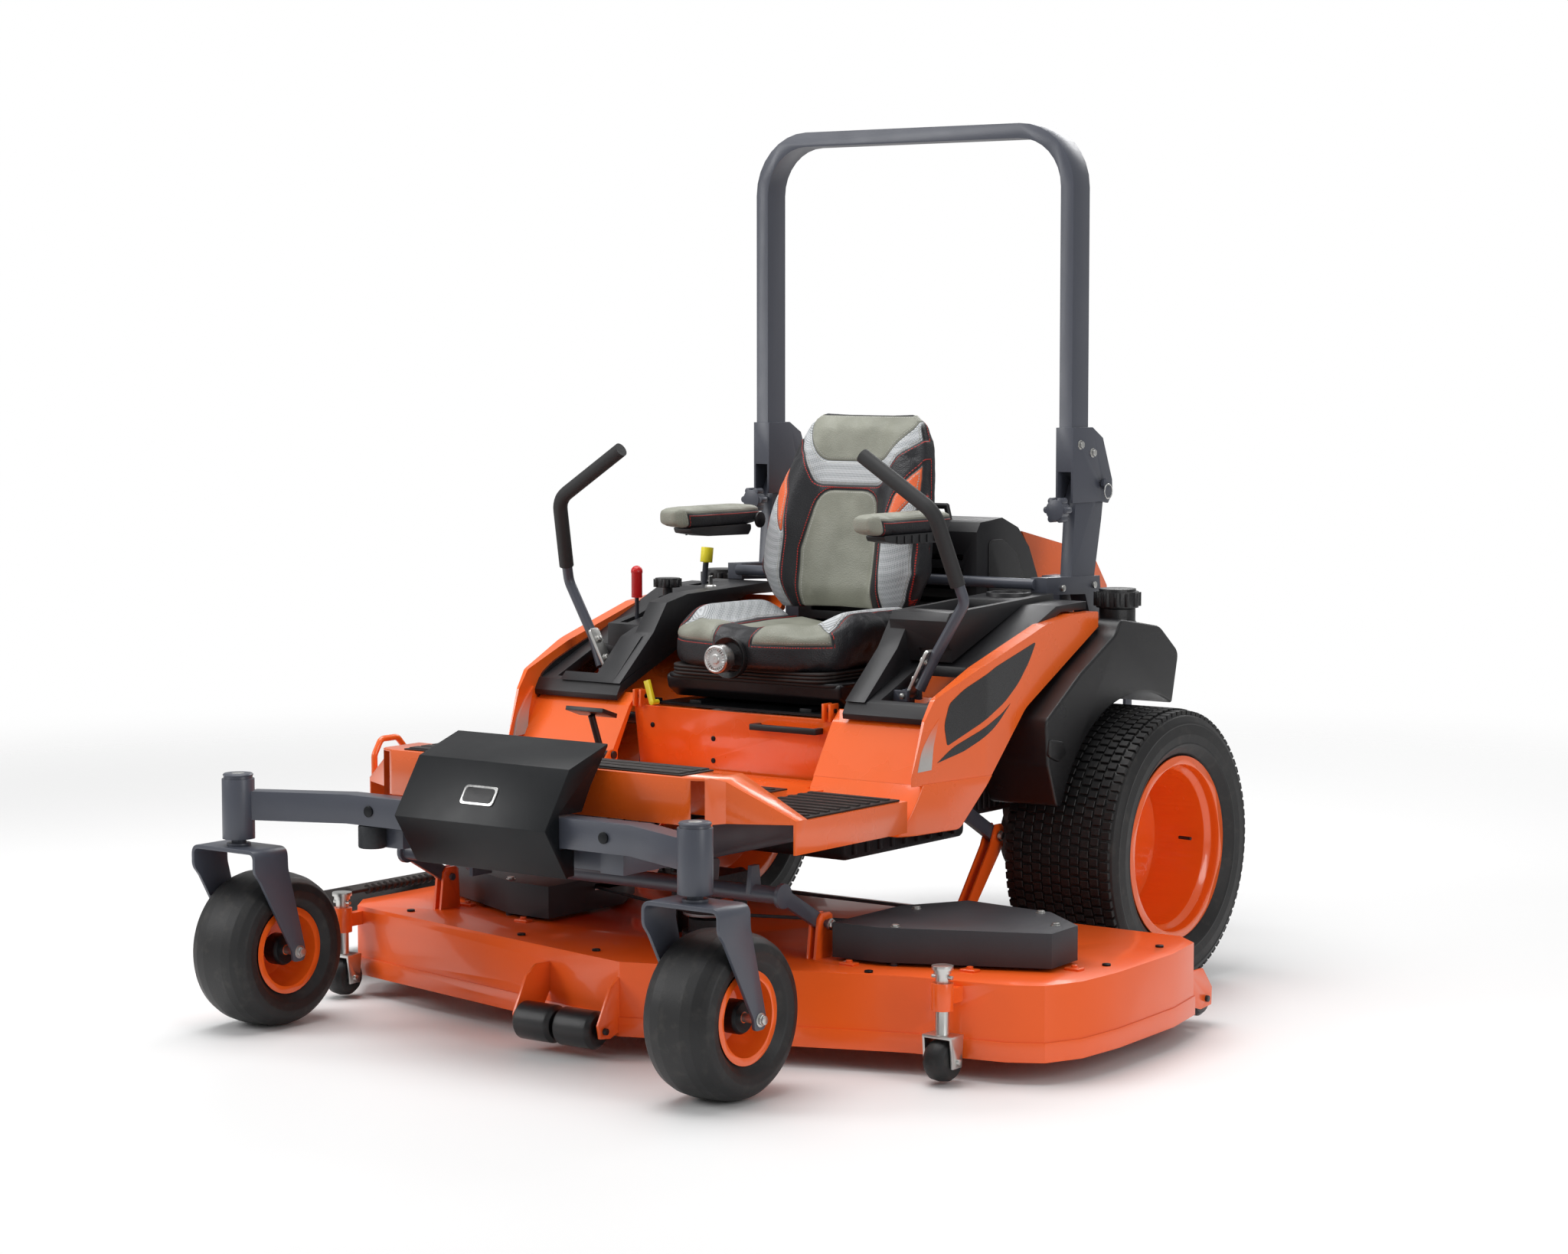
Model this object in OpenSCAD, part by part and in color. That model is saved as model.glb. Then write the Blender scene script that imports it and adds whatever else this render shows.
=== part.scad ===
// Zero turn mower. Millimetres, +Z up, front towards -Y, machine's left towards +X.
// The origin lies on the ground under the middle of the machine.

/* [Wheels] */
// Outer diameter of the drive tyres
rear_tyre_d = 640; // [620:1:650]
// Width of the drive tyres
rear_tyre_w = 300; // [280:1:304]
// Distance between the middles of the drive tyres
rear_track = 1252; // [1250:1:1270]
// Outer diameter of the caster tyres
caster_tyre_d = 334; // [320:1:340]
// Width of the caster tyres
caster_tyre_w = 165; // [150:1:168]
// Distance between the two caster spindles
caster_track = 1238; // [1220:1:1260]

/* [Chassis] */
// Distance from the origin back to the drive axle
axle_y = 500; // [495:1:510]
// Height of the top of the raised foot platform
platform_z = 597; // [590:1:605]
// Height of the side steps
step_z = 507; // [500:1:512]
// Half width across the side steps
step_half_w = 587; // [575:1:590]

/* [Roll bar] */
// Width across the outside of the hoop
hoop_w = 914; // [910:1:916]
// Height of the top of the hoop
hoop_top = 1982; // [1900:1:2000]
// Outer corner radius of the hoop
hoop_corner_r = 150; // [120:1:170]

/* [Deck] */
// Height of the top of the cutting deck at its lowest setting
deck_top = 200; // [195:1:204]
// Height of the lower edge of the deck's skirt
deck_bottom = 45; // [40:1:50]
// Radius swept by each blade
blade_r = 305; // [290:1:306]

/* [Seat] */
// Half width of the seat cushion
cushion_half_w = 244; // [235:1:246]
// Height of the top of the backrest
back_top = 1318; // [1280:1:1330]

/* [Hidden] */
$fn = 64;

orange = "#e8560d";
slate = "#4a4e57";
black = "#1b1c1e";
rubber = "#141414";
zinc = "#b9bcc0";
olive = "#7d8076";

run_gap = 0.1;          // radial clearance of a pin or shaft in its bore
rear_wheel_x = rear_track / 2;
rear_r = rear_tyre_d / 2;
caster_x = caster_track / 2;
caster_r = caster_tyre_d / 2;
spindle_y = -1118;
caster_trail = 82;
stem_r = 16;
rail_in = 270;
rail_out = 330;
rail_bottom = 405;
rail_top = 480;
beam_bottom = 456;
beam_top = 518;
beam_back_y = -981;

// Parallel lift linkage: each arm runs from its chassis pivot down and back to a deck pin.
arm_dy = 135;
arm_dz = -74;
front_pin = [520, -565, 271];
rear_pin = [455, 196, 359];
front_pivot = [front_pin[1] - arm_dy, front_pin[2] - arm_dz];
rear_pivot = [rear_pin[1] - arm_dy, rear_pin[2] - arm_dz];
lift_shaft_r = 18;
pin_r = 8;

// Roll bar hinge, as [y, z]
fold = [643, 1141];
hoop_tube_w = 35;
hoop_y0 = 517;
hoop_y1 = 589;

// Deck layout. The three spindles sit in a shallow V with the middle one in front.
deck_mid_x = 180;
side_spindle_dx = 600;
side_spindle_y = -280;
mid_spindle_y = -500;
skirt_t = 6;
deck_outline = [[-750, -600], [-700, -670], [220, -860], [560, -730], [790, -640], [1000, -600],
    [1065, -562], [1100, -480], [1107, -350], [1092, -100], [1062, 40], [1000, 92],
    [-700, 92], [-750, 40], [-750, -150]];
spindles = [[deck_mid_x, mid_spindle_y], [deck_mid_x - side_spindle_dx, side_spindle_y],
    [deck_mid_x + side_spindle_dx, side_spindle_y]];
scalp_posts = [[897, -676], [-690, -730]];
front_roller_y = -908;
pulley_r = 60;
belt_z = [254.5, 261.5];
cover_outline = [[564, -586], [681, -580], [1002, -435], [993, -320], [861, -213], [640, -190],
    [560, -330]];

// Seat hinges
tilt_axis = [-178, 664];
recline_axis = [272, 800];
armrest_axis = [238, 1052];

// Control positions
lever_pivot = [-95, 600];
lever_hinge = [424, 702];
lever_path = [[437, -100, 716], [470, -92, 784], [559, -87, 910], [552, -104, 952],
    [527, -159, 1108], [339, -161, 1227]];
throttle_at = [-460, 45, 790];
dial_at = [-460, 163, 838];
brake_at = [-460, 300, 840];
pedal_at = [-291, -294, 539];
pedal_r = 9;
cap_at = [575, 530, 862];
hood_hinge = [1085, 705];
hood_pin_r = 5;

// ---- Helpers ----

// Outline in (y, z), extruded from x0 to x1
module xprism(x0, x1, pts) {
    translate([x0, 0, 0]) rotate([90, 0, 90]) linear_extrude(x1 - x0) polygon(pts);
}
// Outline in (x, z), extruded from y0 to y1
module yprism(y0, y1, pts) {
    translate([0, y1, 0]) rotate([90, 0, 0]) linear_extrude(y1 - y0) polygon(pts);
}
// Outline in (x, y), extruded from z0 to z1
module zprism(z0, z1, pts) {
    translate([0, 0, z0]) linear_extrude(z1 - z0) polygon(pts);
}
module block(a, b) {
    translate(a) cube(b - a);
}
module xrod(x0, x1, y, z, r) {
    translate([x0, y, z]) rotate([0, 90, 0]) cylinder(r = r, h = x1 - x0);
}
module yrod(y0, y1, x, z, r) {
    translate([x, y0, z]) rotate([-90, 0, 0]) cylinder(r = r, h = y1 - y0);
}
module zrod(z0, z1, x, y, r) {
    translate([x, y, z0]) cylinder(r = r, h = z1 - z0);
}
// Straight round bar between two points
module bar(a, b, r) {
    d = b - a;
    len = norm(d);
    translate(a) rotate([0, acos(d[2] / len), atan2(d[1], d[0])]) cylinder(r = r, h = len);
}
// Bent round bar, with a knuckle a little fatter than the bar at each bend
module bent_bar(pts, r) {
    knuckle = 0.4;
    for (i = [0 : len(pts) - 2]) bar(pts[i], pts[i + 1], r);
    for (i = [1 : len(pts) - 2]) translate(pts[i]) sphere(r = r + knuckle);
}
module both() {
    children();
    mirror([1, 0, 0]) children();
}
// Profile in (radius, x offset), turned about an axle along X
module wheel(x, y, z, profile) {
    translate([x, y, z]) rotate([0, 90, 0]) rotate_extrude($fn = 96) polygon(profile);
}
// The outline mirrored about x = mid, still running anticlockwise
function mirrored(pts, mid) = [for (i = [len(pts) - 1 : -1 : 0]) [2 * mid - pts[i][0], pts[i][1]]];
// The anticlockwise outline moved inwards by t, with mitred corners
function inset(pts, t) = let (n = len(pts)) [for (i = [0 : n - 1])
    let (a = pts[i] - pts[(i + n - 1) % n], b = pts[(i + 1) % n] - pts[i],
        na = [-a[1], a[0]] / norm(a), nb = [-b[1], b[0]] / norm(b))
    pts[i] + (na + nb) * t / (1 + na * nb)];
// Loop round the three pulleys at radius r, in short chords
function belt_loop(r) = [for (i = [0 : 2])
    let (c = spindles[[0, 2, 1][i]], before = spindles[[1, 0, 2][i]], after = spindles[[2, 1, 0][i]],
        a0 = atan2(c[1] - before[1], c[0] - before[0]) - 90,
        turn = (atan2(after[1] - c[1], after[0] - c[0]) - 90 - a0 + 720) % 360)
    for (k = [0 : 8]) let (a = a0 + turn * k / 8) c + r * [cos(a), sin(a)]];
function upper_half(r, a0, a1, n) =
    [for (i = [0 : n]) let (a = a0 + (a1 - a0) * i / n) [r * cos(a), r * sin(a)]];

// ---- Chassis ----

module main_frame() {
    hitch_hole_r = 9.5;
    seat_post = 40;
    color(slate) {
        difference() {
            union() {
                both() block([rail_in, beam_back_y, rail_bottom], [rail_out, 1160, rail_top]);
                block([-rail_in, -960, rail_bottom], [rail_in, -905, rail_top]);
                block([-rail_in, -140, rail_bottom], [rail_in, -90, rail_top]);
                block([-rail_in, -5, rail_bottom], [rail_in, 25, rail_top]);
                block([-rail_in, 560, rail_bottom], [rail_in, 600, 440]);
                both() block([302, -115, rail_top - 5], [326, -75, 622]);
                both() block([272, 1070, rail_top - 10], [280, 1100, 720]);
                block([-390, 1160, rail_bottom], [390, 1200, rail_top]);
                block([-60, 1110, 350], [60, 1200, 362]);
                both() block([48, 1170, 362], [60, 1200, rail_bottom]);
                both() block([296, front_pivot[0] - 32, front_pivot[1] - 32],
                    [306, front_pivot[0] + 32, rail_bottom]);
                both() for (y = [-150, 300])
                    block([rail_in - 50, y, rail_top - 20], [rail_in - 50 + seat_post, y + seat_post, 634]);
                both() block([rail_in - 10, -150, rail_top - 20], [rail_in + 5, -110, rail_top]);
                both() block([rail_in - 12, 300, rail_top - 20], [rail_in + 5, 340, rail_top]);
            }
            both() xrod(280, 320, front_pivot[0], front_pivot[1], lift_shaft_r + run_gap);
            both() xrod(rail_in - 5, rail_out + 5, rear_pivot[0], rear_pivot[1],
                lift_shaft_r + run_gap);
            both() xrod(295, 335, lever_pivot[0], lever_pivot[1], 14 + run_gap);
            both() xrod(265, 290, hood_hinge[0], hood_hinge[1], hood_pin_r + run_gap);
            zrod(340, 370, 0, 1165, hitch_hole_r);
        }
    }
}

module front_beam() {
    head_r = 35;
    color(slate) difference() {
        union() {
            zprism(beam_bottom, beam_top, [[-590, -1116], [-386, -1031], [386, -1031],
                [590, -1116], [606, -1076], [400, beam_back_y], [-400, beam_back_y], [-606, -1076]]);
            both() zrod(415, 544, caster_x, spindle_y, head_r);
            both() zrod(544, 550, caster_x, spindle_y, head_r - 4);
        }
        both() zrod(410, 539, caster_x, spindle_y, stem_r + run_gap);
    }
}

module weight_box() {
    half_w = 205;
    cheek_t = 5;
    skin = [[-876, 654], [-999, 613], [-1077, 494], [-1009, 389], [-1003, 393], [-1070, 494],
        [-995, 608], [-876, 648]];
    cheek = [[-876, 648], [-995, 608], [-1070, 494], [-1003, 393], [-985, 393], [-985, 452],
        [-1032, 452], [-1032, 522], [-960, 522], [-930, 575]];
    color(black) {
        xprism(-half_w, half_w, skin);
        both() xprism(half_w - cheek_t, half_w, cheek);
        both() block([120, -1044, 452], [170, -1032, 522]);
    }
}

module floor_pan() {
    t = 5;
    front_y = -872;
    riser_y = -737;
    step_back_y = -347;
    floor_back_y = -192;
    plan = [[-400, front_y], [400, front_y], [440, front_y + 16], [460, front_y + 60],
        [step_half_w, -745], [step_half_w, step_back_y], [335, step_back_y], [335, -300],
        [285, -300], [285, floor_back_y], [-285, floor_back_y], [-285, -300], [-335, -300],
        [-335, step_back_y], [-step_half_w, step_back_y], [-step_half_w, -745],
        [-460, front_y + 60], [-440, front_y + 16]];
    pedal_lug = [[-345, step_z - 2], [-300, step_z - 2], [-284, 522], [-278, 532], [-278, 548],
        [-292, 553], [-306, 550]];
    color(orange) difference() {
        union() {
            difference() {
                intersection() {
                    yprism(front_y, floor_back_y, [[-445, platform_z], [445, platform_z],
                        [step_half_w, step_z + 3], [step_half_w, 440], [-step_half_w, 440],
                        [-step_half_w, step_z + 3]]);
                    zprism(430, 610, plan);
                }
                // Floor and side steps behind the raised toe board
                zprism(step_z, 620, [[-600, -704], [-444, riser_y], [444, riser_y], [600, -704],
                    [600, -180], [-600, -180]]);
                block([-440, front_y + t, 430], [440, riser_y - t, platform_z - t]);
                block([-440, front_y - 5, 430], [440, front_y + t + 1, 500]);
                block([-440, riser_y - t - 1, 430], [440, -185, step_z - t]);
                both() block([436, -840, 430], [step_half_w - t, step_back_y - t, step_z - t]);
            }
            for (x = [-34, 28]) xprism(pedal_at[0] + x, pedal_at[0] + x + 6, pedal_lug);
        }
        xrod(-330, -250, pedal_at[1], pedal_at[2], pedal_r + run_gap);
    }
}

module step_treads() {
    rib = 14;
    pitch = 36;
    color(rubber) {
        block([-380, -856, platform_z], [380, -748, platform_z + 3]);
        for (i = [0 : 2])
            block([-370, -850 + i * pitch, platform_z + 3], [370, -850 + 2 * rib + i * pitch, platform_z + 6]);
        block([-275, -725, step_z], [275, -350, step_z + 3]);
        for (i = [0 : 9])
            block([-265, -719 + i * pitch, step_z + 3], [265, -719 + rib + i * pitch, step_z + 6]);
        both() block([350, -690, step_z], [575, -358, step_z + 4]);
        both() for (i = [0 : 8])
            block([360, -682 + i * pitch, step_z + 4], [565, -682 + rib + i * pitch, step_z + 8]);
    }
}

module body_shell() {
    side = [[-335, 425], [-150, 425], [-30, 542], [98, 668], [404, 827], [404, 858], [300, 862],
        [-172, 668], [-200, 642]];
    inner = [[-325, 415], [-155, 415], [-36, 548], [94, 674], [396, 832], [396, 1000], [-172, 1000],
        [-172, 661], [-192, 640]];
    plan = [[286, -345], [540, -338], [568, -300], [600, -60], [600, 410], [286, 410]];
    inner_plan = [[270, -600], [534, -600], [534, -332], [562, -298], [594, -60], [594, 600],
        [270, 600]];
    color(orange) both() difference() {
        intersection() {
            xprism(286, 600, side);
            zprism(400, 900, plan);
        }
        intersection() {
            xprism(270, 620, inner);
            zprism(400, 1000, inner_plan);
        }
        block([260, -360, 400], [rail_out + 3, 420, rail_top + 3]);
        block([299, -122, 470], [329, -68, 626]);
    }
}

module front_panel() {
    lug_x = 255;
    color(orange) difference() {
        union() {
            yprism(-184, -178, [[-284, 644], [284, 644], [262, 470], [-262, 470]]);
            block([-284, -178, 636], [284, 330, 641]);
            both() block([lug_x, -196, 641], [lug_x + 6, -165, 680]);
            both() block([lug_x + 18, -196, 641], [lug_x + 24, -165, 680]);
        }
        both() xrod(lug_x - 2, lug_x + 26, tilt_axis[0], tilt_axis[1], 5 + run_gap);
    }
}

module panel_handle() {
    color(black) {
        block([68, -214, 611], [251, -204, 625]);
        block([68, -204, 611], [82, -184, 625]);
        block([237, -204, 611], [251, -184, 625]);
    }
}

module consoles() {
    base = [[-204, 652], [-174, 674], [290, 866], [400, 866], [400, 884], [270, 880], [-60, 745],
        [-190, 690], [-206, 664]];
    ridge = [[-196, 690], [-60, 745], [270, 880], [400, 884], [400, 892], [60, 882], [-20, 866],
        [-70, 800]];
    tray = [[-30, 800], [-44, 862], [-30, 880], [400, 898], [400, 884], [270, 880], [-20, 770]];
    top_right = [[-196, 690], [-60, 745], [270, 880], [400, 884], [400, 892], [250, 884],
        [60, 824], [-40, 806], [-90, 788]];
    well = [[400, -176], [520, -176], [520, -20], [400, -20]];
    color(black) {
        difference() {
            union() {
                xprism(318, 570, base);
                xprism(318, 370, ridge);
                xprism(330, 482, tray);
                zrod(860, 902, 405, 330, 52);
            }
            zprism(600, 800, well);
            block([345, 20, 860], [465, 230, 930]);
            zrod(872, 930, 405, 330, 42);
        }
        mirror([1, 0, 0]) difference() {
            union() {
                xprism(318, 570, base);
                xprism(318, 370, ridge);
                xprism(340, 496, top_right);
                zrod(800, 837, -dial_at[0], dial_at[1], 34);
            }
            zprism(600, 830, well);
            block([448, -5, 600], [472, 95, 900]);
            block([446, 262, 600], [474, 348, 900]);
            zrod(800, 850, -dial_at[0], dial_at[1], 8 + run_gap);
            zrod(837, 930, -dial_at[0], dial_at[1], 37.5);
        }
    }
}

module fuel_tanks() {
    arch_r = 350;
    neck_r = 42;
    outline = [[140, 470], [112, 560], [104, 650], [250, 730], [408, 812], [412, 846], [604, 816],
        [691, 752], [650, 600], [500, 600]];
    color(black) both() difference() {
        union() {
            difference() {
                xprism(472, 650, outline);
                xrod(460, 660, axle_y, rear_r, arch_r);
            }
            zrod(800, cap_at[2], cap_at[0], cap_at[1], neck_r);
        }
        zrod(815, 870, cap_at[0], cap_at[1], neck_r - 9);
    }
}

module engine() {
    color("#5d6166") {
        block([-200, 740, 500], [200, 1020, 760]);
        block([-170, 760, 760], [170, 1000, 840]);
        block([-215, 720, 440], [215, 1050, 500]);
        xrod(-200, 150, 880, 856, 28);
        xrod(200, 232, 860, 600, 70);
        yrod(700, 740, 0, 620, 60);
        for (i = [0 : 2]) zrod(840, 846, -110 + i * 110, 950, 30);
        both() block([215, 760, rail_top], [262, 800, 500]);
        both() block([215, 980, rail_top], [262, 1020, 500]);
        both() block([255, 760, rail_top], [300, 1020, 492]);
    }
}

module radiator_housing() {
    shell = [[420, 640], [420, 1030], [436, 1052], [530, 1060], [600, 1034], [650, 985],
        [695, 900], [695, 640]];
    hollow = [[428, 600], [428, 1026], [440, 1044], [530, 1052], [594, 1028], [642, 981],
        [687, 898], [687, 600]];
    color(black) {
        difference() {
            xprism(-258, 258, shell);
            xprism(-250, 250, hollow);
            for (i = [0 : 8]) block([-220, 410, 690 + i * 34], [220, 430, 704 + i * 34]);
        }
        block([-230, 470, 492], [230, 520, 960]);
        both() block([200, 470, rail_top], [290, 520, 492]);
        bent_bar([[-150, 470, 1050], [-140, 470, 1086], [-40, 470, 1086], [-30, 470, 1052]], 7);
        bent_bar([[30, 470, 1052], [40, 470, 1086], [140, 470, 1086], [150, 470, 1050]], 7);
        both() block([230, 470, 700], [250, 520, 730]);
    }
}

module hydro_drives() {
    stub_r = 20;
    hub_r = 75;
    color("#8a8d91") both() {
        xrod(334, 440, axle_y, rear_r, 92);
        block([334, 430, 300], [440, 570, 432]);
        block([334, 540, 225], [430, 640, 330]);
        xrod(440, 500, axle_y, rear_r, 48);
        xrod(500, 596, axle_y, rear_r, stub_r);
        block([330, 430, 432], [334, 570, 460]);
        xrod(350, 420, 440, 390, 46);
    }
}

module rops_base() {
    post = [[521, 905], [620, 905], [655, 1060], [668, 1141], [664, 1155], [652, 1164],
        [634, 1166], [560, 1150], [540, 1110], [535, 1071]];
    foot = [[404, 932], [640, 925], [652, 836], [596, 836], [575, 885], [404, 893]];
    color(slate) {
        both() {
            xprism(424, 455, post);
            xprism(418, 461, foot);
            xrod(411, 468, fold[0], fold[1], pin_r);
            xrod(403, 411, fold[0], fold[1], 13);
            xrod(468, 476, fold[0], fold[1], 13);
            block([350, 560, rail_top], [400, 620, 925]);
            block([400, 566, 885], [418, 614, 925]);
            block([300, 560, rail_top], [350, 620, rail_top + 10]);
        }
        xrod(-430, 430, 404, 916, 13);
    }
    color(black) both() {
        yrod(480, 540, 440, 1085, 6);
        yrod(470, 498, 440, 1085, 24);
        for (a = [0 : 60 : 300])
            yrod(472, 496, 440 + 24 * cos(a), 1085 + 24 * sin(a), 8);
    }
}

module battery() {
    color(black) {
        block([-110, -130, rail_top], [110, 28, 630]);
        both() zrod(630, 634, 80, -100, 8);
    }
}

module chassis_bolts() {
    color(zinc) {
        both() zrod(550, 556, caster_x, spindle_y, 14);
        both() for (y = [-940, -925]) zrod(rail_top, rail_top + 8, 300, y, 6);
        both() for (y = [435, 540]) zrod(rail_top, rail_top + 10, 318, y, 7);
        both() xrod(461, 468, 470, 905, 8);
        both() xrod(461, 468, 610, 905, 8);
    }
}

// ---- Casters ----

module caster_fork() {
    plate_z = 400;
    plate_t = 10;
    leg_in = caster_tyre_w / 2 + 5;
    leg_t = 8;
    axle_r = 9;
    ax_y = spindle_y + caster_trail;
    leg = [[spindle_y - 48, plate_z], [spindle_y + 50, plate_z], [spindle_y + 52, 352],
        [ax_y + 18, 172], [ax_y + 12, 152], [ax_y, 146], [ax_y - 12, 152], [ax_y - 19, 168],
        [spindle_y - 30, 330], [spindle_y - 48, 352]];
    color(slate) {
        translate([0, spindle_y, plate_z - plate_t])
            translate([-leg_in - leg_t, -48, 0]) cube([2 * (leg_in + leg_t), 98, plate_t]);
        zrod(plate_z - 26, 534, 0, spindle_y, stem_r);
        zrod(plate_z, plate_z + 6, 0, spindle_y, 26);
        both() xprism(leg_in, leg_in + leg_t, leg);
    }
    color(zinc) {
        xrod(-leg_in - leg_t - 12, leg_in + leg_t + 12, ax_y, caster_r, axle_r);
        both() xrod(leg_in + leg_t, leg_in + leg_t + 9, ax_y, caster_r, 14);
    }
}

module caster_tyre(x) {
    hw = caster_tyre_w / 2;
    bead_w = 60;
    color(rubber) wheel(x, spindle_y + caster_trail, caster_r, [[86, -bead_w], [96, -bead_w - 4],
        [112, -hw + 4], [130, -hw], [146, -hw + 4], [157, -hw + 16], [164, -hw + 34], [caster_r, -26],
        [caster_r, 26], [164, hw - 34], [157, hw - 16], [146, hw - 4], [130, hw], [112, hw - 4],
        [96, bead_w + 4], [86, bead_w]]);
}

module caster_rim(x) {
    lip = 60;
    bore_r = 9 + run_gap;
    color(orange) wheel(x, spindle_y + caster_trail, caster_r, [[bore_r, -56], [20, -56], [20, -30],
        [62, -14], [78, -34], [78, -lip - 6], [94, -lip - 6], [94, -lip - 4.5], [85.7, -lip],
        [85.7, lip], [94, lip + 4.5], [94, lip + 6], [78, lip + 6], [78, 34], [62, -6], [20, -22],
        [20, 56], [bore_r, 56]]);
}

// ---- Drive wheels ----

module rear_tyre(x) {
    hw = rear_tyre_w / 2;
    r = rear_r;
    color(rubber) wheel(x, axle_y, r, [[202, -118], [214, -126], [236, -hw + 4], [262, -hw],
        [288, -hw + 3], [306, -hw + 12], [r - 4, -hw + 24], [r, -hw + 40], [r, hw - 40],
        [r - 4, hw - 24], [306, hw - 12], [288, hw - 3], [262, hw], [236, hw - 4], [214, 126],
        [202, 118]]);
}

module rear_rim(x, side) {
    stub_r = 20 + run_gap;
    color(orange) difference() {
        translate([x, axle_y, rear_r]) mirror([side < 0 ? 1 : 0, 0, 0]) rotate([0, 90, 0])
            rotate_extrude($fn = 96) polygon([[stub_r, -66], [60, -66], [60, -52], [150, -40],
                [176, -60], [190, -112], [192, -132], [212, -132], [212, -128], [201.7, -119],
                [201.7, 119], [212, 128], [212, 132], [192, 132], [190, 112], [178, 100],
                [174, -30], [150, -30], [70, -40], [60, -32], [stub_r, -32]]);
        for (a = [0 : 72 : 288])
            translate([x, axle_y + 44 * cos(a), rear_r + 44 * sin(a)]) rotate([0, 90, 0])
                cylinder(r = 7, h = 200, center = true);
    }
}

// ---- Roll bar hoop ----

module rops_hoop() {
    half = hoop_w / 2;
    inner = half - hoop_tube_w;
    foot_z = 1172;
    outer_path = concat([[half, foot_z]],
        [for (p = upper_half(hoop_corner_r, 0, 90, 8)) [half - hoop_corner_r + p[0], hoop_top - hoop_corner_r + p[1]]],
        [for (p = upper_half(hoop_corner_r, 90, 180, 8)) [-half + hoop_corner_r + p[0], hoop_top - hoop_corner_r + p[1]]],
        [[-half, foot_z]]);
    ir = hoop_corner_r - hoop_tube_w;
    inner_path = concat([[-inner, foot_z]],
        [for (p = upper_half(ir, 180, 90, 8)) [-inner + ir + p[0], hoop_top - hoop_tube_w - ir + p[1]]],
        [for (p = upper_half(ir, 90, 0, 8)) [inner - ir + p[0], hoop_top - hoop_tube_w - ir + p[1]]],
        [[inner, foot_z]]);
    cheek = [[513, 1100], [513, 1275], [600, 1275], [647, 1249], [690, 1150], [692, 1118],
        [672, 1095], [640, 1100], [600, 1100]];
    color(slate) {
        yprism(hoop_y0, hoop_y1, concat(outer_path, inner_path));
        both() difference() {
            union() {
                xprism(457, 463, cheek);
                xprism(416, 422, cheek);
                block([422, 513, foot_z], [457, 517, 1275]);
                block([422, 589, 1200], [457, 598, 1275]);
            }
            xrod(410, 470, fold[0], fold[1], pin_r + run_gap);
        }
    }
}

// ---- Drive levers ----

module lever_bracket() {
    color(slate) {
        xrod(298, 440, lever_pivot[0], lever_pivot[1], 14);
        xprism(408, 416, [[-113, 600], [-77, 600], [-84, 714], [-106, 714]]);
        difference() {
            block([400, -128, 690], [436, -118, 714]);
            yrod(-130, -116, lever_hinge[0], lever_hinge[1], 6 + run_gap);
        }
        difference() {
            block([400, -78, 690], [436, -68, 714]);
            yrod(-80, -66, lever_hinge[0], lever_hinge[1], 6 + run_gap);
        }
        block([400, -128, 680], [416, -68, 690]);
    }
}

module lever() {
    shaft_r = 12.5;
    grip_r = 17;
    color(zinc) {
        yrod(-132, -64, lever_hinge[0], lever_hinge[1], 6);
        translate([lever_hinge[0], -98, lever_hinge[1]]) rotate([0, 28, 0])
            translate([-4, -16, -6.5]) cube([8, 32, 120.5]);
    }
    color(slate) {
        bent_bar([for (i = [0 : 3]) lever_path[i] + [i < 2 ? 12 : 0, 0, 0]], shaft_r);
        for (z = [36, 84]) translate([lever_hinge[0], -98, lever_hinge[1]]) rotate([0, 28, 0])
            translate([-12, 0, z]) rotate([0, 90, 0]) cylinder(r = 6, h = 16);
    }
    color(black) {
        bent_bar([lever_path[3], lever_path[4], lever_path[5]], grip_r);
        translate(lever_path[3]) sphere(r = grip_r);
        translate(lever_path[5]) sphere(r = grip_r + 0.3);
    }
}

// ---- Seat ----

module seat_plate() {
    color(slate) {
        block([-248, -150, 644], [248, 330, 650]);
        both() difference() {
            union() {
                block([262, -174, 652], [272, -150, 676]);
                block([236, -160, 644], [272, -140, 658]);
            }
            xrod(258, 276, tilt_axis[0], tilt_axis[1], 2);
        }
        both() xrod(253, 281, tilt_axis[0], tilt_axis[1], 5);
        both() block([262, -178, 658], [272, -160, 670]);
        both() block([140, -120, 650], [172, 310, 656]);
    }
}

module seat_base() {
    shell = [[-104, 677], [300, 677], [312, 716], [-98, 716]];
    color(black) {
        xprism(-248, 248, shell);
        both() block([136, -100, 656.6], [176, 250, 677]);
    }
}

module seat_cushion() {
    hw = cushion_half_w;
    plan = concat([for (i = [-6 : 6]) [i * hw / 6, -214 + 58 * pow(i / 6, 2)]],
        [[hw, 250], [hw - 40, 300], [-hw + 40, 300], [-hw, 250]]);
    profile = [[-220, 741], [310, 741], [310, 800], [200, 842], [60, 838], [-100, 846], [-180, 838],
        [-205, 812], [-220, 770]];
    side = [[-170, 760], [260, 760], [250, 840], [200, 866], [120, 880], [20, 876], [-60, 850],
        [-140, 834]];
    color(olive) difference() {
        intersection() {
            union() {
                xprism(-hw, hw, profile);
                both() xprism(hw - 60, hw, side);
            }
            zprism(730, 900, plan);
        }
        yrod(-240, -196, 0, 768, 40);
        // Room for the backrest at every recline and travel setting
        block([-236, 224, 790], [236, 340, 900]);
        block([-250, 150, 848], [250, 340, 900]);
    }
}

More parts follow.
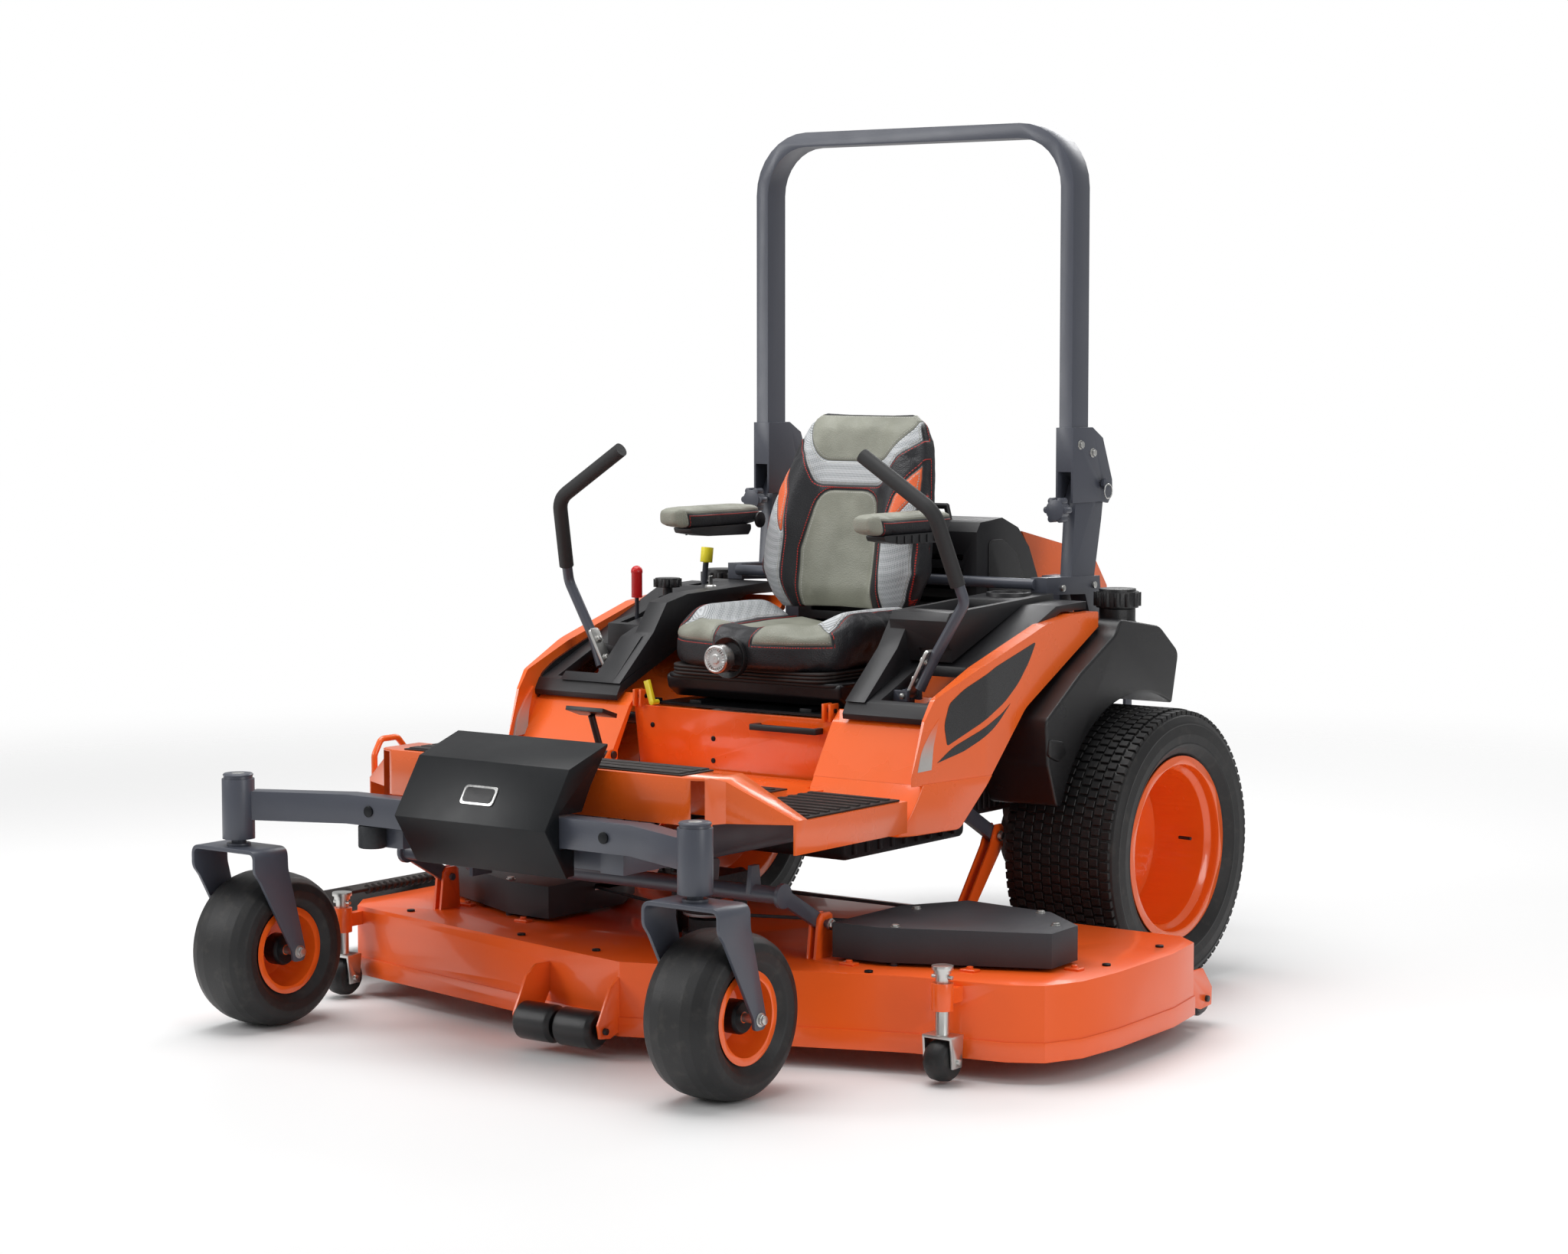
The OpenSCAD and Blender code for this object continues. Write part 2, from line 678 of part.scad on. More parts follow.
module seat_back() {
    pad = [[206, 840], [316, 840], [352, 1000], [396, 1240], [392, 1300], [366, back_top],
        [330, back_top - 6], [300, 1270], [236, 1040]];
    bolster = [[186, 850], [290, 850], [310, 1000], [340, 1170], [300, 1180], [176, 1000],
        [166, 940]];
    front_view = [[-150, 862], [150, 862], [205, 872], [226, 900], [232, 945], [228, 1078],
        [212, 1160], [186, 1262], [165, 1298], [133, back_top + 8], [-133, back_top + 8],
        [-165, 1298], [-186, 1262], [-212, 1160], [-228, 1078], [-232, 945], [-226, 900],
        [-205, 872]];
    color(olive) intersection() {
        union() {
            xprism(-240, 240, pad);
            both() xprism(140, 240, bolster);
        }
        yprism(100, 420, front_view);
    }
    color(black) {
        both() block([178, 260, 796], [192, 288, 900]);
        both() xrod(170, 200, recline_axis[0], recline_axis[1], 5);
        both() xrod(222, 262, armrest_axis[0], armrest_axis[1], pin_r);
    }
}

module armrest() {
    color(olive) difference() {
        xprism(240, 308, [[-70, 1038], [252, 1038], [264, 1052], [258, 1074], [240, 1086],
            [-60, 1093], [-78, 1084], [-82, 1052]]);
        xrod(230, 262.5, armrest_axis[0], armrest_axis[1], pin_r + run_gap);
    }
    color(black) block([244, -20, 1018], [300, 215, 1038]);
}

module seat_knob() {
    color(zinc) {
        yrod(-250, -214, 0, 768, 32);
        yrod(-214, -196.6, 0, 768, 14);
    }
}

module seat_latch() {
    color("gold") {
        translate([-215, -203, 652]) rotate([0, -18, 0]) translate([-7, -4, 0]) cube([14, 8, 54]);
        yrod(-208, -184.6, -215, 654, 6);
    }
}

// ---- Deck ----

module deck_shell() {
    top_t = 6;
    band_t = 4;
    band_h = 40;
    root = 4;               // how far a welded ear reaches into the plate it stands on
    stem_hole_r = 14 + run_gap;
    front_ear = [[-602, deck_top - root], [-536, deck_top - root], [-542, 288], [-552, 294],
        [-580, 294], [-590, 284]];
    rear_ear = [[50, deck_top - root], [88, deck_top - root], [214, 336], [216, 376], [206, 386],
        [182, 386], [160, 340]];
    front_roller_ear = [[-800, 130], [-845, 60], [-890, 44], [-922, 48], [-928, 76], [-888, 150],
        [-856, 170], [-800, 170]];
    rear_roller_ear = [[50, 60], [112, 42], [158, 46], [160, 84], [120, 130], [50, 130]];
    color("#dd4f14") difference() {
        union() {
            difference() {
                union() {
                    zprism(deck_bottom, deck_top, deck_outline);
                    zprism(deck_bottom, deck_bottom + band_h, inset(deck_outline, -band_t));
                }
                zprism(deck_bottom - 10, deck_top - top_t, inset(deck_outline, skirt_t));
                block([-770, -560, deck_bottom - 10], [-735, -165, 168]);
            }
            both() for (x = [508, 526]) xprism(x, x + 6, front_ear);
            both() for (x = [440, 464]) xprism(x, x + 4, rear_ear);
            for (p = scalp_posts) {
                zrod(150, 205, p[0], p[1], 22);
                block([p[0] - 10, p[1], 160], [p[0] + 10, p[1] + 70, 190]);
            }
            for (x = [-14, 213]) xprism(x, x + 6, front_roller_ear);
            for (x = [955, 1034, -706, -627]) xprism(x, x + 6, rear_roller_ear);
        }
        for (p = spindles) zrod(180, 210, p[0], p[1], 40);
        both() xrod(500, 540, front_pin[1], front_pin[2], pin_r + run_gap);
        both() xrod(430, 475, rear_pin[1], rear_pin[2], pin_r + run_gap);
        for (p = scalp_posts) zrod(140, 215, p[0], p[1], stem_hole_r);
        xrod(-20, 225, front_roller_y, 62, 7 + run_gap);
        xrod(950, 1045, 136, 62, 7 + run_gap);
        xrod(-710, -620, 136, 62, 7 + run_gap);
    }
}

module belt_covers() {
    t = 4;
    top = 280;
    bottom = 208;
    color("#33343a") for (left = [true, false]) {
        pts = left ? cover_outline : mirrored(cover_outline, deck_mid_x);
        difference() {
            zprism(bottom, top, pts);
            zprism(bottom - 5, top - t, inset(pts, t));
            zprism(belt_z[0] - 4, belt_z[1] + 4, belt_loop(pulley_r + 4));
        }
        for (p = [[700, -560], [960, -340]])
            zrod(deck_top, top - t, left ? p[0] : 2 * deck_mid_x - p[0], p[1], 8);
    }
}

module deck_drive() {
    bore_r = 15 + run_gap;
    mid = spindles[0];
    color("#3b3d40") {
        difference() {
            union() {
                for (p = spindles) {
                    zrod(deck_top, 212, p[0], p[1], 62);
                    zrod(deck_top - 40, 240, p[0], p[1], 39);
                    zrod(212, 240, p[0], p[1], 48);
                }
                zprism(290, 340, [[mid[0] - 60, mid[1] - 60], [mid[0] + 60, mid[1] - 60],
                    [mid[0] + 60, mid[1] + 60], [mid[0] - 60, mid[1] + 60]]);
                yrod(mid[1] + 60, mid[1] + 110, mid[0], 315, 20);
                both_sides_of(mid) block([mid[0] + 76, mid[1] - 20, deck_top], [mid[0] + 84, mid[1] + 20, 300]);
                both_sides_of(mid) block([mid[0] + 58, mid[1] - 20, 292], [mid[0] + 84, mid[1] + 20, 300]);
            }
            for (p = spindles) zrod(100, 310, p[0], p[1], bore_r);
        }
        difference() {
            zprism(belt_z[0], belt_z[1], belt_loop(pulley_r));
            zprism(belt_z[0] - 1, belt_z[1] + 1, belt_loop(pulley_r - 5));
        }
    }
}
module both_sides_of(p) {
    children();
    translate([2 * p[0], 0, 0]) mirror([1, 0, 0]) children();
}

module spindle(at, phase, top) {
    x = at[0];
    y = at[1];
    color("#70757a") {
        zrod(72, top, x, y, 15);
        zrod(70, 76, x, y, 24);
        zrod(248, 254, x, y, pulley_r);
        zrod(254, 262, x, y, pulley_r - 6);
        zrod(262, 268, x, y, pulley_r);
        translate([x, y, 80]) rotate([0, 0, phase]) {
            translate([-blade_r + 4, -30, 0]) cube([2 * blade_r - 8, 60, 6]);
            for (s = [0, 180]) rotate([0, 0, s]) translate([blade_r - 110, -29, 4])
                rotate([30, 0, 0]) cube([90, 5, 26]);
        }
    }
}

module discharge_chute() {
    hinge_z = 216;
    skin = [[-778, 212], [-800, 218], [-900, 196], [-1040, 128], [-1098, 66], [-1102, 68],
        [-1044, 134], [-902, 202], [-800, 224], [-778, 220]];
    color("#26282b") {
        yprism(-600, -130, skin);
        for (y = [-600, -135])
            yprism(y, y + 5, [[-800, 218], [-900, 196], [-1040, 128], [-1098, 66], [-1040, 60],
                [-900, 90], [-800, 150]]);
    }
    color(zinc) {
        yrod(-620, -110, -774, hinge_z, 5);
        for (i = [0 : 17]) yrod(-560 + i * 20, -552 + i * 20, -774, hinge_z, 11);
    }
}

module scalp_brackets() {
    half = 30;
    color(zinc) for (p = scalp_posts) {
        zrod(100, 232, p[0], p[1], 14);
        zrod(232, 240, p[0], p[1], 22);
        zrod(224, 232, p[0], p[1], 18);
        xrod(p[0] - 24, p[0] + 24, p[1], 217, 4);
        translate([p[0], p[1], 0]) {
            block([-half - 5, -20, 95], [half + 5, 24, 101]);
            for (s = [-half - 5, half]) xprism(s, s + 5, [[-20, 101], [24, 101], [18, 36], [-14, 36]]);
            xrod(-half - 12, half + 12, 2, 49, 6);
        }
    }
}

module scalp_wheel(x, y) {
    color(rubber) wheel(x, y, 49, [[6 + run_gap, -27], [20, -27], [34, -25], [41, -16], [43, 0],
        [41, 16], [34, 25], [20, 27], [6 + run_gap, 27]]);
}

module roller(x0, x1, r) {
    mid = (x0 + x1) / 2;
    h = (x1 - x0) / 2;
    wheel(mid, 0, 0, [[12, -h], [r - 8, -h], [r, -h + 9], [r, h - 9], [r - 8, h], [12, h]]);
}

module front_rollers() {
    color(rubber) translate([0, front_roller_y, 62]) {
        roller(-4, 96, 40);
        roller(104, 204, 40);
    }
    color(zinc) {
        xrod(-22, 226, front_roller_y, 62, 7);
        xrod(-4, 204, front_roller_y, 62, 11.9);
    }
}

module rear_rollers() {
    color(rubber) translate([0, 136, 62]) {
        roller(963, 1031, 40);
        roller(-698, -630, 40);
    }
    color(zinc) {
        xrod(948, 1046, 136, 62, 7);
        xrod(-712, -618, 136, 62, 7);
        xrod(963, 1031, 136, 62, 11.9);
        xrod(-698, -630, 136, 62, 11.9);
    }
}

// ---- Deck lift linkage ----

module lift_arm(x0, x1, pivot, pin) {
    d = [pin[1] - pivot[0], pin[2] - pivot[1]];
    len = norm(d);
    translate([x0, pivot[0], pivot[1]]) rotate([atan2(d[1], d[0]), 0, 0]) {
        translate([0, 0, -16]) cube([x1 - x0, len, 32]);
        rotate([0, 90, 0]) cylinder(r = 26, h = x1 - x0);
        translate([0, len, 0]) rotate([0, 90, 0]) cylinder(r = 16, h = x1 - x0);
    }
}

module front_lift_arms() {
    color(slate) {
        xrod(-514.5, 514.5, front_pivot[0], front_pivot[1], lift_shaft_r);
        both() lift_arm(514.5, 525.5, front_pivot, front_pin);
        both() xprism(440, 452, [[front_pivot[0] - 20, front_pivot[1]], [front_pivot[0] + 20, front_pivot[1]],
            [front_pivot[0] + 12, front_pivot[1] + 58], [front_pivot[0] - 12, front_pivot[1] + 58]]);
    }
    color(zinc) both() {
        xrod(502, 540, front_pin[1], front_pin[2], pin_r);
        xrod(540, 546, front_pin[1], front_pin[2], 12);
    }
}

module rear_lift_arms() {
    color(slate) {
        xrod(-446, 446, rear_pivot[0], rear_pivot[1], lift_shaft_r);
        both() lift_arm(446, 462, rear_pivot, rear_pin);
    }
    color(zinc) both() xrod(434, 472, rear_pin[1], rear_pin[2], pin_r);
}

// ---- Controls ----

module lift_pedal() {
    arm_top = [pedal_at[0], -330, 630];
    color(slate) {
        xrod(pedal_at[0] - 38, pedal_at[0] + 38, pedal_at[1], pedal_at[2], pedal_r);
        bar(pedal_at, arm_top, 8);
    }
    color(black) translate([pedal_at[0], -332, 634]) rotate([-18, 0, 0])
        translate([-54, -27, 0]) cube([108, 54, 10]);
}

module throttle_lever() {
    color(slate) {
        zrod(throttle_at[2], 870, throttle_at[0], throttle_at[1], 5);
        xrod(throttle_at[0] - 8, throttle_at[0] + 8, throttle_at[1], throttle_at[2], 9);
    }
    color("red") {
        zrod(868, 934, throttle_at[0], throttle_at[1], 13);
        translate([throttle_at[0], throttle_at[1], 930]) sphere(r = 14);
    }
}

module height_dial() {
    color(black) translate([dial_at[0], dial_at[1], 0]) {
        zrod(810, 890, 0, 0, 8);
        zrod(837.5, 850, 0, 0, 30);
        zrod(850, 886, 0, 0, 12);
        zrod(886, 908, 0, 0, 30);
        for (a = [0 : 60 : 300]) zrod(887, 906, 26 * cos(a), 26 * sin(a), 10);
    }
}

module brake_lever() {
    color(slate) {
        bar(brake_at, [brake_at[0], brake_at[1] + 14, 940], 7);
        xrod(brake_at[0] - 10, brake_at[0] + 10, brake_at[1], brake_at[2], 10);
    }
    color("gold") translate([brake_at[0], brake_at[1] + 15, 938]) rotate([-8, 0, 0]) cylinder(r = 15, h = 36);
}

module fuel_cap(side) {
    r = 55;
    color(black) translate([side * cap_at[0], cap_at[1], 0]) {
        zrod(862.5, 900, 0, 0, r - 6);
        zrod(900, 906, 0, 0, r - 12);
        for (a = [0 : 30 : 330]) zrod(866, 898, (r - 8) * cos(a), (r - 8) * sin(a), 8);
        zrod(840, 862.5, 0, 0, 30);
    }
}

module hood() {
    outer = [[714, 690], [714, 905], [690, 962], [646, 1022], [863, 977], [989, 933], [1041, 870],
        [1078, 690]];
    inner = [[723, 680], [723, 907], [699, 966], [664, 1006], [860, 968], [984, 925], [1032, 866],
        [1070, 680]];
    half = 240;
    color(orange) {
        difference() {
            xprism(-half, half, outer);
            xprism(-half + 8, half - 8, inner);
        }
        both() xprism(180, 190, [[1070, 720], [1095, 716], [1098, 698], [1078, 692], [1068, 696]]);
    }
    color(zinc) both() xrod(176, 284, hood_hinge[0], hood_hinge[1], hood_pin_r);
}

main_frame();
front_beam();
weight_box();
floor_pan();
step_treads();
body_shell();
front_panel();
panel_handle();
consoles();
fuel_tanks();
engine();
radiator_housing();
hydro_drives();
rops_base();
battery();
chassis_bolts();
translate([caster_x, 0, 0]) caster_fork();  // caster_fork_left
translate([-caster_x, 0, 0]) caster_fork();  // caster_fork_right
caster_tyre(caster_x);  // caster_tyre_left
caster_tyre(-caster_x);  // caster_tyre_right
caster_rim(caster_x);  // caster_rim_left
caster_rim(-caster_x);  // caster_rim_right
rear_tyre(rear_wheel_x);  // rear_tyre_left
rear_tyre(-rear_wheel_x);  // rear_tyre_right
rear_rim(rear_wheel_x, 1);  // rear_rim_left
rear_rim(-rear_wheel_x, -1);  // rear_rim_right
rops_hoop();
lever_bracket();  // lever_bracket_left
mirror([1, 0, 0]) lever_bracket();  // lever_bracket_right
lever();  // lever_left
mirror([1, 0, 0]) lever();  // lever_right
seat_plate();
seat_base();
seat_cushion();
seat_back();
armrest();  // armrest_left
mirror([1, 0, 0]) armrest();  // armrest_right
seat_knob();
deck_shell();
belt_covers();
deck_drive();
spindle(spindles[2], 20, 274);  // spindle_left
spindle(spindles[0], 75, 288);  // spindle_center
spindle(spindles[1], 130, 274);  // spindle_right
discharge_chute();
scalp_brackets();
scalp_wheel(scalp_posts[0][0], scalp_posts[0][1] + 2);  // scalp_wheel_left
scalp_wheel(scalp_posts[1][0], scalp_posts[1][1] + 2);  // scalp_wheel_right
front_rollers();
rear_rollers();
front_lift_arms();
rear_lift_arms();
lift_pedal();
throttle_lever();
height_dial();
brake_lever();
fuel_cap(1);  // fuel_cap_left
fuel_cap(-1);  // fuel_cap_right
hood();
seat_latch();
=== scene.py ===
import math
import bpy
import numpy as np
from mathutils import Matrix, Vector


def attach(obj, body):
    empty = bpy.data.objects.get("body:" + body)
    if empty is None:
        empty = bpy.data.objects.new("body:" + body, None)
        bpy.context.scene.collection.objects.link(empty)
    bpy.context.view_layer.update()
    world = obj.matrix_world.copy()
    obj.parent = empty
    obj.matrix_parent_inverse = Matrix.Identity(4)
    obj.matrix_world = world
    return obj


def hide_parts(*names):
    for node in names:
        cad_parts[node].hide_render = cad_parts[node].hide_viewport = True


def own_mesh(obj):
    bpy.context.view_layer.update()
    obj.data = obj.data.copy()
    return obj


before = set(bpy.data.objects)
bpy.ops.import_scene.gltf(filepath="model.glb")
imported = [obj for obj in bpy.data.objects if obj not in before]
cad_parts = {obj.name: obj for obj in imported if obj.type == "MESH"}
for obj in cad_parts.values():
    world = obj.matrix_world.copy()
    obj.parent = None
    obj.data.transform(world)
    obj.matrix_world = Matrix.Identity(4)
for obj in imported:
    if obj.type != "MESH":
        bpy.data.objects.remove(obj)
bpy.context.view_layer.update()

# ---- Camera, light and floor ----


def camera():
    bpy.ops.object.camera_add(location=(4.589, -6.2185, 1.4788), rotation=(math.radians(85.154), 0,
        math.radians(36.379)))
    view = bpy.context.object
    view.data.lens = 77.8
    view.data.sensor_width = 36
    bpy.context.scene.camera = view


def softbox(name, place, aim, size, power):
    bpy.ops.object.light_add(type="AREA", location=place)
    light = bpy.context.object
    light.name = name
    light.data.shape = "RECTANGLE"
    light.data.size, light.data.size_y = size
    light.data.energy = power
    light.rotation_euler = (Vector(aim) - Vector(place)).to_track_quat("-Z", "Y").to_euler()


def studio():
    softbox("top_light", (-0.8, -0.4, 5.4), (0, 0, 0.4), (4.2, 4.2), 230)
    softbox("front_light", (-4.2, -4.6, 3.4), (0, -0.3, 0.6), (2.4, 2.4), 120)
    softbox("side_light", (5.8, -1.6, 2.6), (0, 0, 0.6), (1.6, 3.0), 70)
    softbox("back_light", (-1.0, 5.5, 4.2), (0, 0, 0.8), (4.0, 2.0), 120)
    world = bpy.data.worlds.new("studio")
    bpy.context.scene.world = world
    world.use_nodes = True
    tree = world.node_tree
    glow = tree.nodes["Background"]
    glow.inputs["Color"].default_value = (1, 1, 1, 1)
    # The backdrop is white, and lights the machine less than it shows
    seen = tree.nodes.new("ShaderNodeLightPath")
    strength = tree.nodes.new("ShaderNodeMapRange")
    strength.inputs["To Min"].default_value = 0.42
    strength.inputs["To Max"].default_value = 1.0
    tree.links.new(seen.outputs["Is Camera Ray"], strength.inputs["Value"])
    tree.links.new(strength.outputs[0], glow.inputs["Strength"])
    bpy.context.scene.view_settings.view_transform = "Standard"


# ---- Shader maths ----


class Value:
    """A shader value, on which the usual signs add Math nodes."""

    def __init__(self, mix, socket):
        self.mix, self.socket = mix, socket

    def math(self, operation, *others):
        return self.mix.node("Math", {"operation": operation}, {0: self, **dict(enumerate(others, 1))})

    def __add__(self, other):
        return self.math("ADD", other)

    def __sub__(self, other):
        return self.math("SUBTRACT", other)

    def __mul__(self, other):
        return self.math("MULTIPLY", other)

    def __rsub__(self, other):
        return self.mix.node("Math", {"operation": "SUBTRACT"}, {0: other, 1: self})

    __radd__ = __add__
    __rmul__ = __mul__

    def above(self, edge, soft):
        """0 below the edge and 1 above it, with a soft step of that width."""
        return self.mix.node("MapRange", {"interpolation_type": "SMOOTHSTEP"},
            {"Value": self, "From Min": edge - soft, "From Max": edge + soft})


class Finish:
    """A material made of nodes."""

    def __init__(self, name, **fixed):
        self.material = bpy.data.materials.new(name)
        self.material.use_nodes = True
        self.tree = self.material.node_tree
        self.shader = self.tree.nodes["Principled BSDF"]
        for socket, value in fixed.items():
            label = socket.replace("_", " ").title().replace("Ior", "IOR")
            self.shader.inputs[label].default_value = value
        self.place = self.node("TexCoord", {}, {}, "Object")

    def node(self, kind, settings, inputs, output=0):
        made = self.tree.nodes.new("ShaderNode" + kind)
        for setting, value in settings.items():
            setattr(made, setting, value)
        for socket, value in inputs.items():
            if isinstance(value, Value):
                self.tree.links.new(value.socket, made.inputs[socket])
            else:
                made.inputs[socket].default_value = value
        return Value(self, made.outputs[output])

    def axis(self, letter):
        return self.node("SeparateXYZ", {}, {0: self.place}, letter)

    def noise(self, scale, detail=2.0, stretch=(1, 1, 1)):
        where = self.place
        if stretch != (1, 1, 1):
            where = self.node("VectorMath", {"operation": "MULTIPLY"}, {0: self.place, 1: stretch})
        return self.node("TexNoise", {}, {"Vector": where, "Scale": scale, "Detail": detail})

    def cells(self, scale):
        return self.node("TexVoronoi", {}, {"Vector": self.place, "Scale": scale})

    def attribute(self, name):
        return self.node("Attribute", {"attribute_name": name}, {}, "Fac")

    def blend(self, factor, first, second):
        return self.node("Mix", {"data_type": "RGBA"}, {0: factor, 6: first, 7: second}, 2)

    def bump(self, height, distance, strength=1.0):
        return self.node("Bump", {}, {"Height": height, "Distance": distance, "Strength": strength})

    def wear(self, **inputs):
        names = {"colour": "Base Color", "roughness": "Roughness", "metallic": "Metallic",
            "normal": "Normal", "coat": "Coat Weight"}
        for name, value in inputs.items():
            self.tree.links.new(value.socket, self.shader.inputs[names[name]])
        return self.material


def shade(colour, factor):
    return (*[min(1.0, c * factor) for c in colour[:3]], 1)


def paint(name, colour, roughness=0.28, coat=0.6):
    """Sprayed paint: a slight orange peel, patches of duller film and a breath of dust."""
    f = Finish(name, coat_weight=coat, coat_roughness=0.08)
    cloud = f.noise(3.5, 4)
    speck = f.noise(260, 3)
    tint = f.blend(cloud, shade(colour, 0.93), shade(colour, 1.07))
    tint = f.blend(speck.above(0.72, 0.05) * 0.12, tint, shade(colour, 0.6))
    peel = f.noise(420, 2)
    return f.wear(colour=tint, roughness=f.noise(9, 3) * 0.16 + (roughness - 0.08),
        normal=f.bump(peel, 0.0004, 0.25))


def powder(name, colour, roughness=0.42, shine=0.5):
    """Satin powder coat, with a fine pebbled skin."""
    f = Finish(name, coat_weight=0.12 * shine * 2, coat_roughness=0.3, specular_ior_level=shine)
    tint = f.blend(f.noise(5, 4), shade(colour, 0.88), shade(colour, 1.14))
    pebble = f.cells(700)
    return f.wear(colour=tint, roughness=f.noise(14, 3) * 0.2 + (roughness - 0.1),
        normal=f.bump(pebble, 0.0003, 0.35))


def moulded(name, colour, roughness=0.42, grain=900, stem=None):
    """Moulded plastic: a spark-eroded grain, rubbed smoother in patches, and dark below the stem."""
    f = Finish(name, specular_ior_level=0.5)
    rubbed = f.noise(7, 4)
    tint = f.blend(rubbed, shade(colour, 0.8), shade(colour, 1.25))
    if stem:
        tint = f.blend(f.axis("Z").above(stem, 0.0005), shade(SLATE, 0.5), tint)
    texture = f.cells(grain) + f.noise(grain * 1.7, 2) * 0.6
    return f.wear(colour=tint, roughness=rubbed * 0.2 + (roughness - 0.1),
        normal=f.bump(texture, 0.0003, 0.5))


def metal(name, colour, roughness=0.3, stretch=(1, 1, 1)):
    """Plated or machined metal, finely scratched, with a little cloudiness in its shine."""
    f = Finish(name, metallic=1.0)
    cloud = f.noise(22, 4)
    scratch = f.noise(700, 3, stretch)
    tint = f.blend(cloud, shade(colour, 0.82), shade(colour, 1.1))
    return f.wear(colour=tint, roughness=cloud * 0.22 + scratch * 0.1 + (roughness - 0.15),
        normal=f.bump(scratch, 0.0002, 0.4))


def rubber(name, colour, roughness=0.62):
    """Tyre rubber: bloom and dust lie in low cloudy patches over a slightly pitted skin."""
    f = Finish(name, specular_ior_level=0.4)
    bloom = f.noise(6, 5)
    dust = f.noise(38, 5).above(0.62, 0.12) * 0.35
    tint = f.blend(bloom, shade(colour, 0.7), shade(colour, 1.5))
    tint = f.blend(dust, tint, (0.05, 0.045, 0.04, 1))
    pits = f.noise(520, 3) + f.cells(150) * 0.4
    return f.wear(colour=tint, roughness=bloom * 0.25 + (roughness - 0.14),
        normal=f.bump(pits, 0.0005, 0.4))


def cast(name, colour):
    """Sand-cast metal under thin paint."""
    f = Finish(name, metallic=0.35)
    sand = f.noise(180, 5)
    tint = f.blend(f.noise(11, 4), shade(colour, 0.7), shade(colour, 1.3))
    return f.wear(colour=tint, roughness=sand * 0.3 + 0.4, normal=f.bump(sand, 0.001, 0.6))


ORANGE = (0.90, 0.135, 0.012)
DECK_ORANGE = (0.90, 0.115, 0.010)
SLATE = (0.062, 0.068, 0.088)
BLACK = (0.012, 0.012, 0.014)

orange = paint("orange_paint", ORANGE)
deck_orange = paint("deck_orange", DECK_ORANGE, 0.34, 0.4)
rim_orange = paint("rim_orange", (0.90, 0.12, 0.010), 0.25, 0.6)
slate = powder("slate_paint", SLATE, 0.36)
black_steel = powder("black_steel", (0.005, 0.006, 0.0075), 0.36, 0.22)
plastic = moulded("black_plastic", BLACK, 0.4)
gloss_plastic = moulded("smooth_black_plastic", (0.009, 0.009, 0.010), 0.24, 1600)
cover_plastic = moulded("cover_plastic", (0.028, 0.030, 0.036), 0.5)
foam_grip = moulded("foam_grip", (0.016, 0.016, 0.017), 0.62, 650)
mat_rubber = rubber("mat_rubber", (0.018, 0.013, 0.012), 0.6)
tyre_rubber = rubber("tyre_rubber", (0.011, 0.011, 0.0115), 0.5)
zinc = metal("zinc_steel", (0.62, 0.62, 0.60), 0.32)
alloy = cast("cast_alloy", (0.16, 0.165, 0.17))
engine_grey = cast("engine_grey", (0.03, 0.032, 0.036))
blade_steel = metal("blade_steel", (0.34, 0.34, 0.35), 0.4, (8, 1, 1))
knob_metal = metal("knob_metal", (0.66, 0.66, 0.65), 0.26, (1, 12, 1))
red_plastic = moulded("red_plastic", (0.62, 0.008, 0.01), 0.28)
yellow_plastic = moulded("yellow_plastic", (0.80, 0.68, 0.02), 0.35)
throttle_red = moulded("throttle_red", (0.62, 0.008, 0.01), 0.28, stem=0.867)
brake_yellow = moulded("brake_yellow", (0.80, 0.68, 0.02), 0.35, stem=0.937)

# ---- Helpers for shaping ----


SIDES = (("left", 1), ("right", -1))
WELD = 0.00002
# The radius at a turned piece's pole
POLE = 0.0005


def deselect():
    bpy.ops.object.select_all(action="DESELECT")


def activate(piece):
    deselect()
    piece.select_set(True)
    bpy.context.view_layer.objects.active = piece


def settle():
    """Puts the active piece's origin at the world's, unturned and unscaled."""
    bpy.ops.object.transform_apply(location=True, rotation=True, scale=True)


def edit(*steps):
    """Runs mesh operators in edit mode, each on the whole mesh of the active piece."""
    bpy.ops.object.mode_set(mode="EDIT")
    for operator, settings in steps:
        bpy.ops.mesh.select_all(action="SELECT")
        operator(**settings)
    bpy.ops.object.mode_set(mode="OBJECT")


def modify(piece, kind, **settings):
    """Adds a modifier with these settings and applies it."""
    modifier = piece.modifiers.new(kind.lower(), kind)
    for setting, value in settings.items():
        setattr(modifier, setting, value)
    activate(piece)
    bpy.ops.object.modifier_apply(modifier=modifier.name)


def smooth(piece, angle=35):
    activate(piece)
    bpy.ops.object.shade_smooth_by_angle(angle=math.radians(angle))


def finish(piece, material, body, node=None, slot=None):
    """Gives a finished piece its material, its place at the origin and the body that it rides on.

    It takes the place of the CAD node, if one is given. The slot argument is not used.
    Blender adds a number to a name that the CAD's own materials have taken.
    """
    activate(piece)
    settle()
    piece.data.materials.clear()
    piece.data.materials.append(material)
    smooth(piece)
    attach(piece, body)
    if node:
        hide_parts(node)
    slot or material.name.partition(".")[0]


def joined(name, parts):
    deselect()
    for part in parts:
        part.select_set(True)
    bpy.context.view_layer.objects.active = parts[0]
    if len(parts) > 1:
        bpy.ops.object.join()
    parts[0].name = name
    return parts[0]


def copied(piece, name):
    twin = piece.copy()
    twin.data = piece.data.copy()
    twin.name = name
    bpy.context.scene.collection.objects.link(twin)
    return twin


def mirrored(piece, name):
    """The piece's mirror image across the machine's middle plane, turned right side out."""
    twin = copied(piece, name)
    activate(twin)
    twin.scale.x = -1
    settle()
    edit((bpy.ops.mesh.flip_normals, {}))
    return twin


def both_sides(piece):
    return joined(piece.name, [piece, mirrored(piece, "right_half")])


def place(along, u, v, w):
    """A point from two outline values and the distance along an axis."""
    return {"X": (w, u, v), "Y": (u, w, v), "Z": (u, v, w)}[along]


